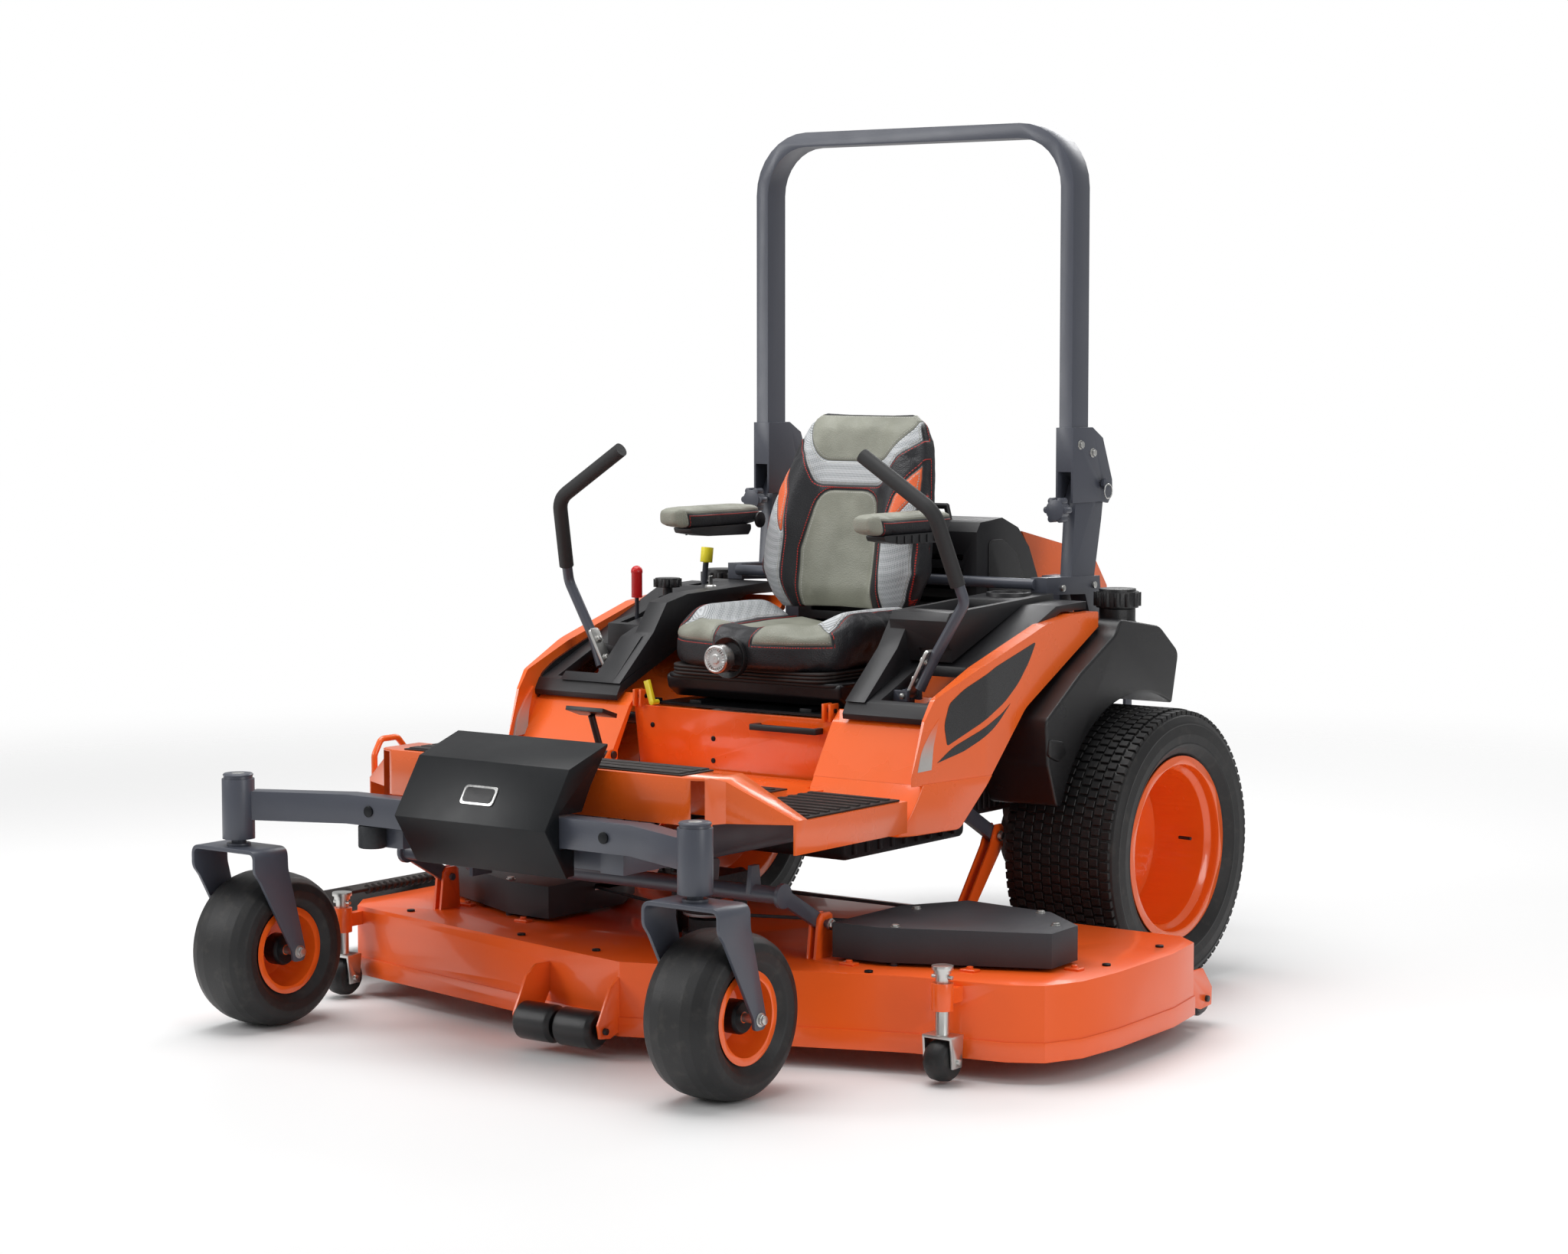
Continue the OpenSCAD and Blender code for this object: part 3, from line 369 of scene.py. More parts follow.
def mm(*points):
    """Points given in millimetres, in metres."""
    return [tuple(value / 1000 for value in point) for point in points]


def rounded(outline, radius, steps=5):
    """The outline with its corners rounded; radius is one number or one for each corner."""
    radii = radius if isinstance(radius, (list, tuple)) else [radius] * len(outline)
    made = []
    for i, here in enumerate(outline):
        here = Vector(here)
        before = Vector(outline[i - 1]) - here
        after = Vector(outline[(i + 1) % len(outline)]) - here
        angle = before.angle(after)
        if radii[i] <= 0 or angle > 3.1:
            made.append(here)
            continue
        reach = min(radii[i] / math.tan(angle / 2), before.length * 0.49, after.length * 0.49)
        start, end = here + before.normalized() * reach, here + after.normalized() * reach
        for k in range(steps + 1):
            t = k / steps
            made.append(start * (1 - t) ** 2 + here * (2 * t * (1 - t)) + end * t ** 2)
    return made


def edge_bevel(piece, width, segments=3, angle=32):
    if width:
        modify(piece, "BEVEL", width=width, segments=segments, limit_method="ANGLE",
            angle_limit=math.radians(angle), harden_normals=False)
    return piece


def slab(name, outline, along, start, stop, edge=0.0, segments=3):
    """A plate: its outline lies across an axis, and its thickness runs from start to stop on it."""
    deselect()
    bpy.ops.mesh.primitive_circle_add(vertices=len(outline), fill_type="NGON")
    piece = bpy.context.object
    piece.name = name
    for vertex, (u, v) in zip(piece.data.vertices, outline):
        vertex.co = place(along, u, v, start)
    move = {"value": place(along, 0, 0, stop - start)}
    edit((bpy.ops.mesh.extrude_region_move, {"TRANSFORM_OT_translate": move}),
        (bpy.ops.mesh.normals_make_consistent, {"inside": False}))
    return edge_bevel(piece, edge, segments)


def block(name, low, high, edge=0.0, segments=3):
    deselect()
    low, high = Vector(low), Vector(high)
    bpy.ops.mesh.primitive_cube_add(size=1, location=(low + high) / 2, scale=high - low)
    piece = bpy.context.object
    piece.name = name
    settle()
    return edge_bevel(piece, edge, segments)


def turned(name, profile, centre, along, steps=64):
    """A turned piece: its closed profile, as radius and offset along the axis, spun about the axis."""
    deselect()
    bpy.ops.mesh.primitive_circle_add(vertices=len(profile), fill_type="NOTHING")
    piece = bpy.context.object
    piece.name = name
    centre = Vector(centre)
    for vertex, (radius, offset) in zip(piece.data.vertices, profile):
        out = {"X": (offset, 0, radius), "Y": (radius, offset, 0), "Z": (radius, 0, offset)}[along]
        vertex.co = centre + Vector(out)
    turn = {"steps": steps, "angle": math.tau, "center": centre, "axis": place(along, 0, 0, 1)}
    edit((bpy.ops.mesh.spin, turn), (bpy.ops.mesh.remove_doubles, {"threshold": WELD}),
        (bpy.ops.mesh.normals_make_consistent, {"inside": False}))
    return piece


def rod(name, start, end, radius, edge=0.0, sides=32):
    deselect()
    start, end = Vector(start), Vector(end)
    bpy.ops.mesh.primitive_cylinder_add(vertices=sides, radius=radius, depth=(end - start).length,
        location=(start + end) / 2)
    piece = bpy.context.object
    piece.name = name
    piece.rotation_euler = (end - start).to_track_quat("Z", "Y").to_euler()
    settle()
    return edge_bevel(piece, edge, 2)


def tube(name, points, radius, bend=0.0, sides=6, closed=False):
    """A bent bar or wire along the points, with each bend rounded."""
    points = [Vector(p) for p in points]
    if bend:
        route = rounded(points, [0 if not closed and i in (0, len(points) - 1) else bend
            for i in range(len(points))], 7)
    else:
        route = points
    curve = bpy.data.curves.new(name, "CURVE")
    curve.dimensions = "3D"
    curve.bevel_depth = radius
    curve.bevel_resolution = sides
    curve.use_fill_caps = True
    spline = curve.splines.new("POLY")
    spline.points.add(len(route) - 1)
    for point, co in zip(spline.points, route):
        point.co = (*co, 1)
    spline.use_cyclic_u = closed
    piece = bpy.data.objects.new(name, curve)
    bpy.context.scene.collection.objects.link(piece)
    activate(piece)
    bpy.ops.object.convert(target="MESH")
    return bpy.context.object


def bolt(name, at, along, size, head=0.6, flip=1):
    """A hex bolt head on its washer, standing out of a face at that point."""
    direction = Vector(place(along, 0, 0, flip))
    at = Vector(at)
    washer = rod(name, at, at + direction * size * 0.16, size * 1.25, size * 0.05, 24)
    hexagon = rod("hex", at + direction * size * 0.16, at + direction * size * (0.16 + head), size,
        size * 0.12, 6)
    return joined(name, [washer, hexagon])


def smoothing(angle):
    """Geometry nodes that shade a carried-over node smooth, except over its sharp edges."""
    group = bpy.data.node_groups.new("smooth_by_angle", "GeometryNodeTree")
    for way in ("INPUT", "OUTPUT"):
        group.interface.new_socket("Geometry", in_out=way, socket_type="NodeSocketGeometry")
    new = group.nodes.new
    start, end = new("NodeGroupInput"), new("NodeGroupOutput")
    faces, edges = new("GeometryNodeSetShadeSmooth"), new("GeometryNodeSetShadeSmooth")
    edges.domain = "EDGE"
    edges.inputs["Shade Smooth"].default_value = False
    turn, sharp = new("GeometryNodeInputMeshEdgeAngle"), new("FunctionNodeCompare")
    sharp.operation = "GREATER_THAN"
    sharp.inputs[1].default_value = math.radians(angle)
    for a, b in ((start.outputs[0], faces.inputs[0]), (faces.outputs[0], edges.inputs[0]),
            (turn.outputs[0], sharp.inputs[0]), (sharp.outputs[0], edges.inputs["Selection"]),
            (edges.outputs[0], end.inputs[0])):
        group.links.new(a, b)
    return group


SMOOTH = smoothing(32)


def carry(node, material, edge):
    """Gives a CAD node its finish, and rounds its edges by modifiers that leave its mesh alone."""
    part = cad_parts[node]
    part.data.materials.clear()
    part.data.materials.append(material)
    weld = part.modifiers.new("weld", "WELD")
    weld.merge_threshold = WELD
    flat = part.modifiers.new("flat", "DECIMATE")
    flat.decimate_type = "DISSOLVE"
    flat.angle_limit = math.radians(0.6)
    if edge:
        bevel = part.modifiers.new("edge", "BEVEL")
        bevel.width = edge
        bevel.segments = 2
        bevel.limit_method = "ANGLE"
        bevel.angle_limit = math.radians(35)
    part.modifiers.new("smooth", "NODES").node_group = SMOOTH


# Each finish and edge radius, and the CAD nodes that take them
CARRIED = (
    (slate, 0.003, "main_frame rops_base"),
    (slate, 0.004, "front_beam rops_hoop"),
    (slate, 0.002, "caster_fork_left caster_fork_right front_lift_arms rear_lift_arms"),
    (slate, 0.001, "lever_bracket_left lever_bracket_right"),
    (black_steel, 0.003, "weight_box"),
    (black_steel, 0.001, "seat_plate"),
    (orange, 0.006, "floor_pan hood"),
    (orange, 0.004, "body_shell"),
    (orange, 0.003, "front_panel"),
    (mat_rubber, 0.001, "step_treads discharge_chute"),
    (plastic, 0.002, "panel_handle battery lift_pedal"),
    (plastic, 0.003, "consoles"),
    (plastic, 0.004, "radiator_housing seat_base seat_cushion seat_back armrest_left armrest_right"),
    (gloss_plastic, 0.006, "fuel_tanks"),
    (gloss_plastic, 0.001, "front_rollers rear_rollers"),
    (gloss_plastic, 0.002, "height_dial fuel_cap_left fuel_cap_right"),
    (engine_grey, 0.004, "engine"),
    (engine_grey, 0.002, "deck_drive"),
    (alloy, 0.003, "hydro_drives"),
    (zinc, 0.0008, "chassis_bolts"),
    (zinc, 0.001, "scalp_brackets"),
    (tyre_rubber, 0, "caster_tyre_left caster_tyre_right rear_tyre_left rear_tyre_right"),
    (tyre_rubber, 0.001, "scalp_wheel_left scalp_wheel_right"),
    (rim_orange, 0.001, "caster_rim_left caster_rim_right"),
    (rim_orange, 0.002, "rear_rim_left rear_rim_right"),
    (foam_grip, 0.001, "lever_left lever_right"),
    (knob_metal, 0.001, "seat_knob"),
    (deck_orange, 0.0015, "deck_shell"),
    (cover_plastic, 0.003, "belt_covers"),
    (blade_steel, 0.001, "spindle_left spindle_center spindle_right"),
    (throttle_red, 0.001, "throttle_lever"),
    (brake_yellow, 0.001, "brake_lever"),
    (yellow_plastic, 0.001, "seat_latch"),
)


def floor():
    bpy.ops.mesh.primitive_plane_add(size=60)
    ground = bpy.context.object
    ground.name = "studio_floor"
    f = Finish("floor", roughness=0.5, specular_ior_level=0.3)
    reach = f.node("VectorMath", {"operation": "LENGTH"}, {0: f.place}, "Value")
    clear = f.node("BsdfTransparent", {}, {})
    faded = f.node("MixShader", {}, {0: reach.above(4.6, 1.8), 2: clear})
    f.tree.links.new(f.shader.outputs[0], faded.socket.node.inputs[1])
    f.tree.links.new(faded.socket, f.tree.nodes["Material Output"].inputs["Surface"])
    tint = f.blend(f.noise(0.4, 2), (0.87, 0.87, 0.87, 1), (0.9, 0.9, 0.9, 1))
    ground.data.materials.append(f.wear(colour=tint))


deselect()
camera()
studio()
floor()
for material, edge, nodes in CARRIED:
    for node in nodes.split():
        carry(node, material, edge)


# ---- Seat: padded covers ----


def signed_distance(points, outline):
    """How far inside a closed outline each point lies, negative outside, and how far round it."""
    corners = np.array([tuple(p) for p in outline])
    best, run = np.full(len(points), 1e9), np.zeros(len(points))
    inside = np.zeros(len(points), bool)
    walked = 0.0
    for a, b in zip(corners, np.roll(corners, -1, 0)):
        d = b - a
        length = float(np.hypot(*d))
        t = np.clip(((points - a) @ d) / (d @ d), 0, 1)
        gap = np.linalg.norm(points - a - t[:, None] * d, axis=1)
        nearer = gap < best
        best[nearer], run[nearer] = gap[nearer], (walked + t * length)[nearer]
        walked += length
        if abs(d[1]) > 1e-9:
            crosses = (a[1] > points[:, 1]) != (b[1] > points[:, 1])
            inside ^= crosses & (points[:, 0] < a[0] + (points[:, 1] - a[1]) * d[0] / d[1])
    return np.where(inside, best, -best), run


def patch(flat, corners, radius):
    return signed_distance(flat, rounded(corners, radius))


def places(piece):
    co = np.zeros(len(piece.data.vertices) * 3)
    piece.data.vertices.foreach_get("co", co)
    return co.reshape(-1, 3)


def move_all(piece, co):
    piece.data.vertices.foreach_set("co", co.astype(np.float32).ravel())
    piece.data.update()


def swell(piece, cap, pressure=4.0):
    """Puffs a cover out with cloth pressure, by no more than the cap anywhere."""
    rest = places(piece)
    scene = bpy.context.scene
    scene.frame_set(1)
    cloth = piece.modifiers.new("swell", "CLOTH")
    cloth.settings.use_pressure = True
    cloth.settings.uniform_pressure_force = pressure
    cloth.settings.effector_weights.gravity = 0
    for step in range(1, 21):
        scene.frame_set(step)
    activate(piece)
    bpy.ops.object.modifier_apply(modifier="swell")
    scene.frame_set(1)
    moved = places(piece) - rest
    far = np.linalg.norm(moved, axis=1, keepdims=True)
    move_all(piece, rest + moved * np.minimum(1, cap / np.maximum(far, 1e-9)))


def stuffed(name, shape, cuts, cap, voxel=0.006):
    """A cushion: a box moulded by shape(a, b, c), closed up at an even mesh and then swollen."""
    deselect()
    bpy.ops.mesh.primitive_cube_add(size=2)
    piece = bpy.context.object
    piece.name = name
    edit((bpy.ops.mesh.subdivide, {"number_cuts": cuts}))
    for vertex in piece.data.vertices:
        vertex.co = shape(*vertex.co)
    modify(piece, "REMESH", mode="VOXEL", voxel_size=voxel)
    swell(piece, cap)
    modify(piece, "SUBSURF", levels=1, render_levels=1)
    modify(piece, "SMOOTH", factor=0.5, iterations=4)
    return piece


def store(piece, name, values):
    made = piece.data.attributes.new(name, "FLOAT", "POINT")
    made.data.foreach_set("value", values.astype(np.float32))


def sew(piece, panels, run, depth=0.0032, width=0.0042):
    """Stores each panel's distance field and presses the seams between the panels into the cover."""
    co = places(piece)
    normals = np.zeros(len(co) * 3)
    piece.data.vertices.foreach_get("normal", normals)
    nearest = np.min([np.abs(field) for field in panels.values()], axis=0)
    move_all(piece, co - normals.reshape(-1, 3) * (depth * np.exp(-(nearest / width) ** 2))[:, None])
    for name, field in panels.items():
        store(piece, name, field)
    store(piece, "run", run)


def cover_material():
    """Olive and black leather, light mesh cloth and orange accents, with stitched seams."""
    f = Finish("seat_cover", specular_ior_level=0.4)
    crisp = 0.0007
    olive, black, accent = [f.attribute(n) for n in ("olive", "black", "accent")]
    is_olive, is_black, is_accent = [v.above(0, crisp) for v in (olive, black, accent)]
    cloth = (1 - is_olive) * (1 - is_black) * (1 - is_accent)
    # Olive hide: cloudy, with paler rubbed patches
    cloud = f.noise(16, 6)
    patch = f.noise(5.5, 4).above(0.5, 0.16)
    hide = f.blend(cloud, (0.135, 0.140, 0.108, 1), (0.30, 0.305, 0.25, 1))
    hide = f.blend(patch * 0.45, hide, (0.40, 0.405, 0.345, 1))
    jet = f.blend(cloud, (0.006, 0.006, 0.008, 1), (0.022, 0.023, 0.027, 1))
    # Mesh cloth: a diagonal knit of small holes
    x, y, z = f.axis("X"), f.axis("Y"), f.axis("Z")
    height = z - y * 0.45
    knit = 1150
    warp = ((x + height) * knit).math("SINE")
    weft = ((x - height) * knit).math("SINE")
    rows = (height * (knit * 0.33)).math("SINE")
    thread = warp * weft
    net = f.blend(thread.above(-0.15, 0.5), (0.14, 0.155, 0.17, 1), (0.60, 0.62, 0.635, 1))
    net = f.blend(rows.above(0.2, 0.7) * 0.25, net, (0.72, 0.735, 0.75, 1))
    bright = f.blend(f.noise(60, 3), (0.66, 0.10, 0.03, 1), (0.86, 0.17, 0.05, 1))
    tint = f.blend(is_black, net, jet)
    tint = f.blend(is_accent, tint, bright)
    tint = f.blend(is_olive, tint, hide)
    # Two rows of stitches, one each side of a seam
    seam = olive.math("ABSOLUTE").math("MINIMUM", black.math("ABSOLUTE"))
    seam = seam.math("MINIMUM", accent.math("ABSOLUTE"))
    row = 1 - (seam - 0.0052).math("ABSOLUTE").above(0.0008, 0.0004)
    dash = (f.attribute("run") * 165).math("FRACT").above(0.34, 0.08)
    stitch = row * dash
    thread_tint = f.blend(is_black, (0.42, 0.42, 0.38, 1), (0.60, 0.03, 0.02, 1))
    tint = f.blend(stitch, tint, thread_tint)
    # Painted shade: the seam creases are darkened almost to black
    seam_shade = 1 - seam.above(0.0012, 0.0012)
    tint = f.blend(seam_shade * 0.7, tint, (0.01, 0.01, 0.01, 1))
    grain = f.cells(330) + f.noise(240, 4) * 0.7
    skin = grain * (1 - cloth) + thread * cloth * 0.5 + stitch * 1.6
    rough = cloth * 0.3 + f.noise(20, 4) * 0.2 + is_olive * 0.06 + 0.34
    return f.wear(colour=tint, roughness=rough, normal=f.bump(skin, 0.0007, 0.75))


seat_cover = cover_material()


def across(value, knots):
    return float(np.interp(value, *zip(*knots)))


def ease(value):
    value = min(1.0, max(0.0, value))
    return value * value * (3 - 2 * value)


BACK_WIDTH = mm((845, 178), (875, 200), (940, 224), (1060, 220), (1160, 205), (1240, 186), (1290, 164),
    (1312, 136))
BACK_FRONT = mm((845, 222), (900, 226), (1040, 250), (1150, 278), (1270, 312), (1312, 334))
BACK_WING = mm((845, 28), (940, 56), (1060, 52), (1160, 30), (1250, 10), (1312, 0))
BACK_REAR = mm((845, 306), (1000, 340), (1240, 384), (1312, 378))


def back_shape(a, b, c):
    middle, half_height = 1.0785, 0.2335
    z = middle + half_height * c
    width = across(z, BACK_WIDTH)
    x = a * width * (1 - 0.12 * b ** 8)
    wing = across(z, BACK_WING) * ease((abs(a) - 0.42) / 0.34)
    front, rear = across(z, BACK_FRONT) - wing, across(z, BACK_REAR)
    deep = b * (1 - 0.34 * a ** 8) * (1 - 0.3 * c ** 12)
    y = (front + rear) / 2 + deep * (rear - front) / 2
    return x, y, z


def seat_back():
    piece = stuffed("seat_back_cover", back_shape, 34, 0.008)
    co = places(piece)
    flat = np.stack([np.abs(co[:, 0]), co[:, 2]], 1)
    edge = [(w - 0.010, z) for z, w in BACK_WIDTH]
    front_face, rim_run = signed_distance(flat,
        [(-1, 0.852), (0, 0.852)] + edge + [(0.128, 1.303), (-1, 1.303)])
    front_line = np.interp(co[:, 2], *zip(*BACK_FRONT))
    rim = np.maximum(-front_face, co[:, 1] - front_line - 0.036)
    head, head_run = patch(flat, mm((-1000, 1400), (152, 1400), (150, 1278), (86, 1196), (-1000, 1196)),
        0.045)
    yoke, yoke_run = patch(flat, mm((-1000, 1500), (300, 1500), (300, 1300), (190, 1262), (132, 1212),
        (92, 1140), (-1000, 1134)), 0.03)
    centre, centre_run = patch(flat, mm((-1000, 1126), (82, 1128), (104, 990), (98, 800), (-1000, 800)),
        0.05)
    stripe, stripe_run = patch(flat, mm((-1000, 1400), (300, 1400), (205, 1225), (152, 1120),
        (138, 1020), (140, 920), (124, 800), (-1000, 800)), 0.06)
    flash, flash_run = patch(flat, mm((206, 1222), (153, 1120), (140, 1012), (176, 1085), (236, 1185)),
        0.012)
    runs = [rim_run, head_run, yoke_run, centre_run, stripe_run, flash_run]
    run = np.choose(np.argmin(np.abs([rim, head, yoke, centre, stripe, flash]), axis=0), runs)
    olive = np.minimum(np.maximum(head, np.minimum(centre, -yoke)), -rim)
    black = np.maximum(rim, np.minimum.reduce([stripe, -yoke, -centre, -head]))
    accent = np.minimum.reduce([flash, -rim, -yoke, -np.minimum(stripe, -yoke)])
    sew(piece, {"olive": olive, "black": black, "accent": accent}, run)
    finish(piece, seat_cover, "seat_back", "seat_back")


def cushion_shape(a, b, c):
    y_front = -0.200 + 0.050 * a * a
    y = y_front + (0.288 - y_front) * (b + 1) / 2
    x = a * 0.236 * (1 - 0.13 * b ** 8) * (1 - 0.05 * c ** 8)
    y = 0.05 + (y - 0.05) * (1 - 0.10 * a ** 8) * (1 - 0.04 * c ** 8)
    hump = 0.040 * ease((abs(a) - 0.60) / 0.25) * ease((y + 0.15) / 0.14) * ease((0.285 - y) / 0.10)
    pads = 0.012 * ease(1 - abs(abs(a) - 0.48) / 0.42) * ease((-0.03 - y) / 0.08)
    well = -0.014 * ease(1 - abs(a) / 0.62) * ease((y + 0.13) / 0.12)
    level, bottom = 0.824, 0.7445
    top = level + hump + pads + well - 0.012 * ease((-0.15 - y) / 0.06)
    z = bottom + (top - bottom) * (c + 1) / 2
    return x, y, z


def seat_cushion():
    piece = stuffed("seat_cushion_cover", cushion_shape, 34, 0.008)
    co = places(piece)
    recess = np.clip(0.044 - np.hypot(co[:, 0], co[:, 2] - 0.768), 0, 0.010) / 0.010
    at_front = co[:, 1] < -0.14
    co[:, 1] = np.where(at_front, co[:, 1] + recess * np.maximum(0, -0.187 - co[:, 1]), co[:, 1])
    back_room = (np.abs(co[:, 0]) < 0.232) & (co[:, 1] > 0.215) & (co[:, 2] > 0.80)
    co[:, 2] = np.where(back_room, 0.80 + (co[:, 2] - 0.80) * 0.25, co[:, 2])
    move_all(piece, co)
    flat = np.stack([np.abs(co[:, 0]), co[:, 1]], 1)
    face, face_run = patch(flat, mm((-1000, -188), (100, -183), (205, -150), (214, 270), (-1000, 270)),
        0.03)
    low_side = 0.800 - co[:, 2]
    rim = np.maximum(-face, low_side)
    thigh, thigh_run = patch(flat, mm((36, -300), (400, -300), (400, -112), (215, -105), (120, -60),
        (72, -85)), 0.03)
    centre, centre_run = patch(flat, mm((-1000, -70), (90, -70), (108, 100), (100, 400), (-1000, 400)),
        0.04)
    stripe, stripe_run = patch(flat, mm((-1000, -300), (36, -300), (120, -60), (140, 100), (128, 400),
        (-1000, 400)), 0.05)
    runs = [face_run, thigh_run, centre_run, stripe_run]
    run = np.choose(np.argmin(np.abs([rim, thigh, centre, stripe]), axis=0), runs)
    drop = np.maximum(-face - 0.020, 0.822 - co[:, 2] - 0.03)
    thigh_top = np.minimum(thigh, -np.maximum(drop, low_side))
    olive = np.maximum(thigh_top, np.minimum(centre, -rim))
    black = np.minimum(np.maximum(rim, np.minimum(stripe, -centre)), -thigh_top)
    sew(piece, {"olive": olive, "black": black, "accent": np.full(len(co), -1.0)}, run)
    finish(piece, seat_cover, "seat_cushion", "seat_cushion")


def armrest(name):
    """A padded armrest on its ribbed bracket. The right one is the left one's mirror image."""
    height, seam = 1.066, 1.0755

    def shape(a, b, c):
        x = 0.274 + 0.029 * a * (1 - 0.10 * c ** 8) * (1 - 0.20 * b ** 8)
        y = 0.090 + 0.166 * b * (1 - 0.03 * a ** 8) * (1 - 0.03 * c ** 8)
        rise = 0.004 * ease(-y / 0.08)
        return x, y, height + rise + 0.0225 * c * (1 - 0.12 * a ** 8) * (1 - 0.25 * b ** 12)

    piece = stuffed(name + "_pad", shape, 20, 0.0035, 0.0045)
    co = places(piece)
    top = (co[:, 2] - seam) - 0.004 * np.clip((-co[:, 1]) / 0.08, 0, 1)
    nose = -0.030 - co[:, 1] - (co[:, 2] - height) * 0.3
    olive = np.maximum(top, nose)
    sew(piece, {"olive": olive, "black": -olive, "accent": np.full(len(co), -1.0)}, co[:, 1] + co[:, 2],
        0.0016, 0.003)
    bracket = slab(name + "_bracket", rounded(mm((-20, 1043), (-12, 1030), (50, 1021), (206, 1018),
        (216, 1030), (216, 1043)), 0.006), "X", 0.248, 0.299, 0.003)
    ribs = [block("rib", (0.2995, 0.03 + 0.03 * i, 1.022), (0.3015, 0.036 + 0.03 * i, 1.040), 0.0004)
        for i in range(6)]
    ear = rod("ear", (0.236, 0.238, 1.052), (0.2415, 0.238, 1.052), 0.019, 0.001)
    bracket = joined(name + "_bracket", [bracket, ear] + ribs)
    if name == "armrest_right":
        pads = mirrored(piece, name + "_pad_cover"), mirrored(bracket, name + "_bracket_cover")
        bpy.data.objects.remove(piece)
        bpy.data.objects.remove(bracket)
        piece, bracket = pads
    finish(piece, seat_cover, name, name, "armrest_cover")
    finish(bracket, plastic, name)


def seat_trim():
    """The moulded base under the cushion, its rubber bellows, and the knob in its round recess."""
    knob_z = 0.768
    tub = slab("seat_tub", rounded(mm((-118, 714), (-110, 680), (-80, 659.5), (270, 659.5), (296, 680),
        (306, 714)), 0.012), "X", -0.246, 0.246, 0.010, 4)
    lip = slab("lip", rounded(mm((-247, -128), (247, -128), (247, 308), (-247, 308)), 0.05, 8), "Z",
        0.706, 0.7155, 0.003)
    finish(joined("seat_tub", [tub, lip]), plastic, "seat_base", "seat_base")
    outline = rounded(mm((-222, -150), (222, -150), (222, 275), (-222, 275)), 0.06, 8)
    pleats = []
    for i in range(3):
        z = 0.7165 + i * 0.008
        pleats.append(slab("pleat", outline, "Z", z, z + 0.0074, 0.0034, 3))
    bellows = joined("seat_bellows", pleats)
    finish(bellows, mat_rubber, "seat_base")
    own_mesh(bellows)
    ring = turned("knob_recess", mm((34, -193), (46, -204), (47, -203.5), (48, -196), (46, -186),
        (34, -186)), (0, 0, knob_z), "Y")
    finish(ring, gloss_plastic, "seat_cushion", slot="black_plastic")
    dial = turned("seat_knob_dial", rounded([(POLE, -0.250), (0.010, -0.250), (0.011, -0.2475),
        (0.026, -0.2475), (0.0275, -0.250), (0.031, -0.2485), (0.032, -0.245), (0.032, -0.220),
        (0.029, -0.2145), (0.014, -0.2145), (0.013, -0.1968), (POLE, -0.1968)], 0.0012, 3),
        (0, 0, knob_z), "Y", 96)
    marks = [block("mark", (-0.0008, -0.2506, knob_z + 0.0195), (0.0008, -0.2470, knob_z + 0.0245))
        for _ in range(24)]
    for i, mark in enumerate(marks):
        turn = math.tau * i / len(marks)
        for vertex in mark.data.vertices:
            x, z = vertex.co.x, vertex.co.z - knob_z
            vertex.co.x = x * math.cos(turn) + z * math.sin(turn)
            vertex.co.z = knob_z + z * math.cos(turn) - x * math.sin(turn)
    finish(joined("seat_knob_dial", [dial] + marks), knob_metal, "seat_knob", "seat_knob")


seat_back()
seat_cushion()
armrest("armrest_left")
armrest("armrest_right")
seat_trim()


# ---- Body panels ----


def boolean(piece, tool, operation):
    modify(piece, "BOOLEAN", operation=operation, object=tool, solver="EXACT")
    bpy.data.objects.remove(tool, do_unlink=True)
    return piece


def pod_plan(grow):
    """The pod's outline from above, moved outwards by that much at its side and front."""
    points = [(0.286, -0.345 - grow), (0.545 + grow, -0.345 - grow), (0.568 + grow, -0.300),
        (0.600 + grow, -0.060), (0.600 + grow, 0.410), (0.286, 0.410)]
    return rounded(points, [0, 0.04, 0.08, 0.12, 0, 0], 8)


def pod_part(name, side, inner, grow, low, high):
    return boolean(slab(name, side, "X", inner, 0.620), slab("plan", pod_plan(grow), "Z", low, high),
        "INTERSECT")


def side_pods():
    """The painted pods beside the seat: a sill below, and a shoulder round the console."""
    wall = rounded(mm((-335, 425), (-150, 425), (-30, 542), (98, 668), (404, 827), (404, 858),
        (300, 862), (-172, 668), (-200, 642)), [0, 0.03, 0.1, 0.1, 0, 0, 0.02, 0.02, 0.03], 6)
    rim = rounded(mm((-330, 470), (-280, 470), (404, 850), (404, 862), (300, 861.5), (178, 846),
        (-84, 769), (-230, 712), (-262, 668)), 0.02, 6)
    hollow = rounded(mm((-322, 400), (-160, 400), (-40, 548), (90, 676), (393, 835), (393, 1000),
        (-170, 1000), (-170, 661), (-190, 638)), 0.02, 4)
    upper = pod_part("side_pods", wall, 0.286, 0, 0.530, 0.95)
    boolean(upper, pod_part("shoulder", rim, 0.566, 0, 0.530, 0.95), "UNION")
    sill = pod_part("sill", wall, 0.286, 0.003, 0.40, 0.533)
    halves = []
    for part in (upper, sill):
        boolean(part, slab("hollow", hollow, "X", 0.20, 0.562), "DIFFERENCE")
        halves.append(edge_bevel(part, 0.0025, 3, 38))
    finish(both_sides(joined("side_pods", halves)), orange, "chassis", "body_shell")


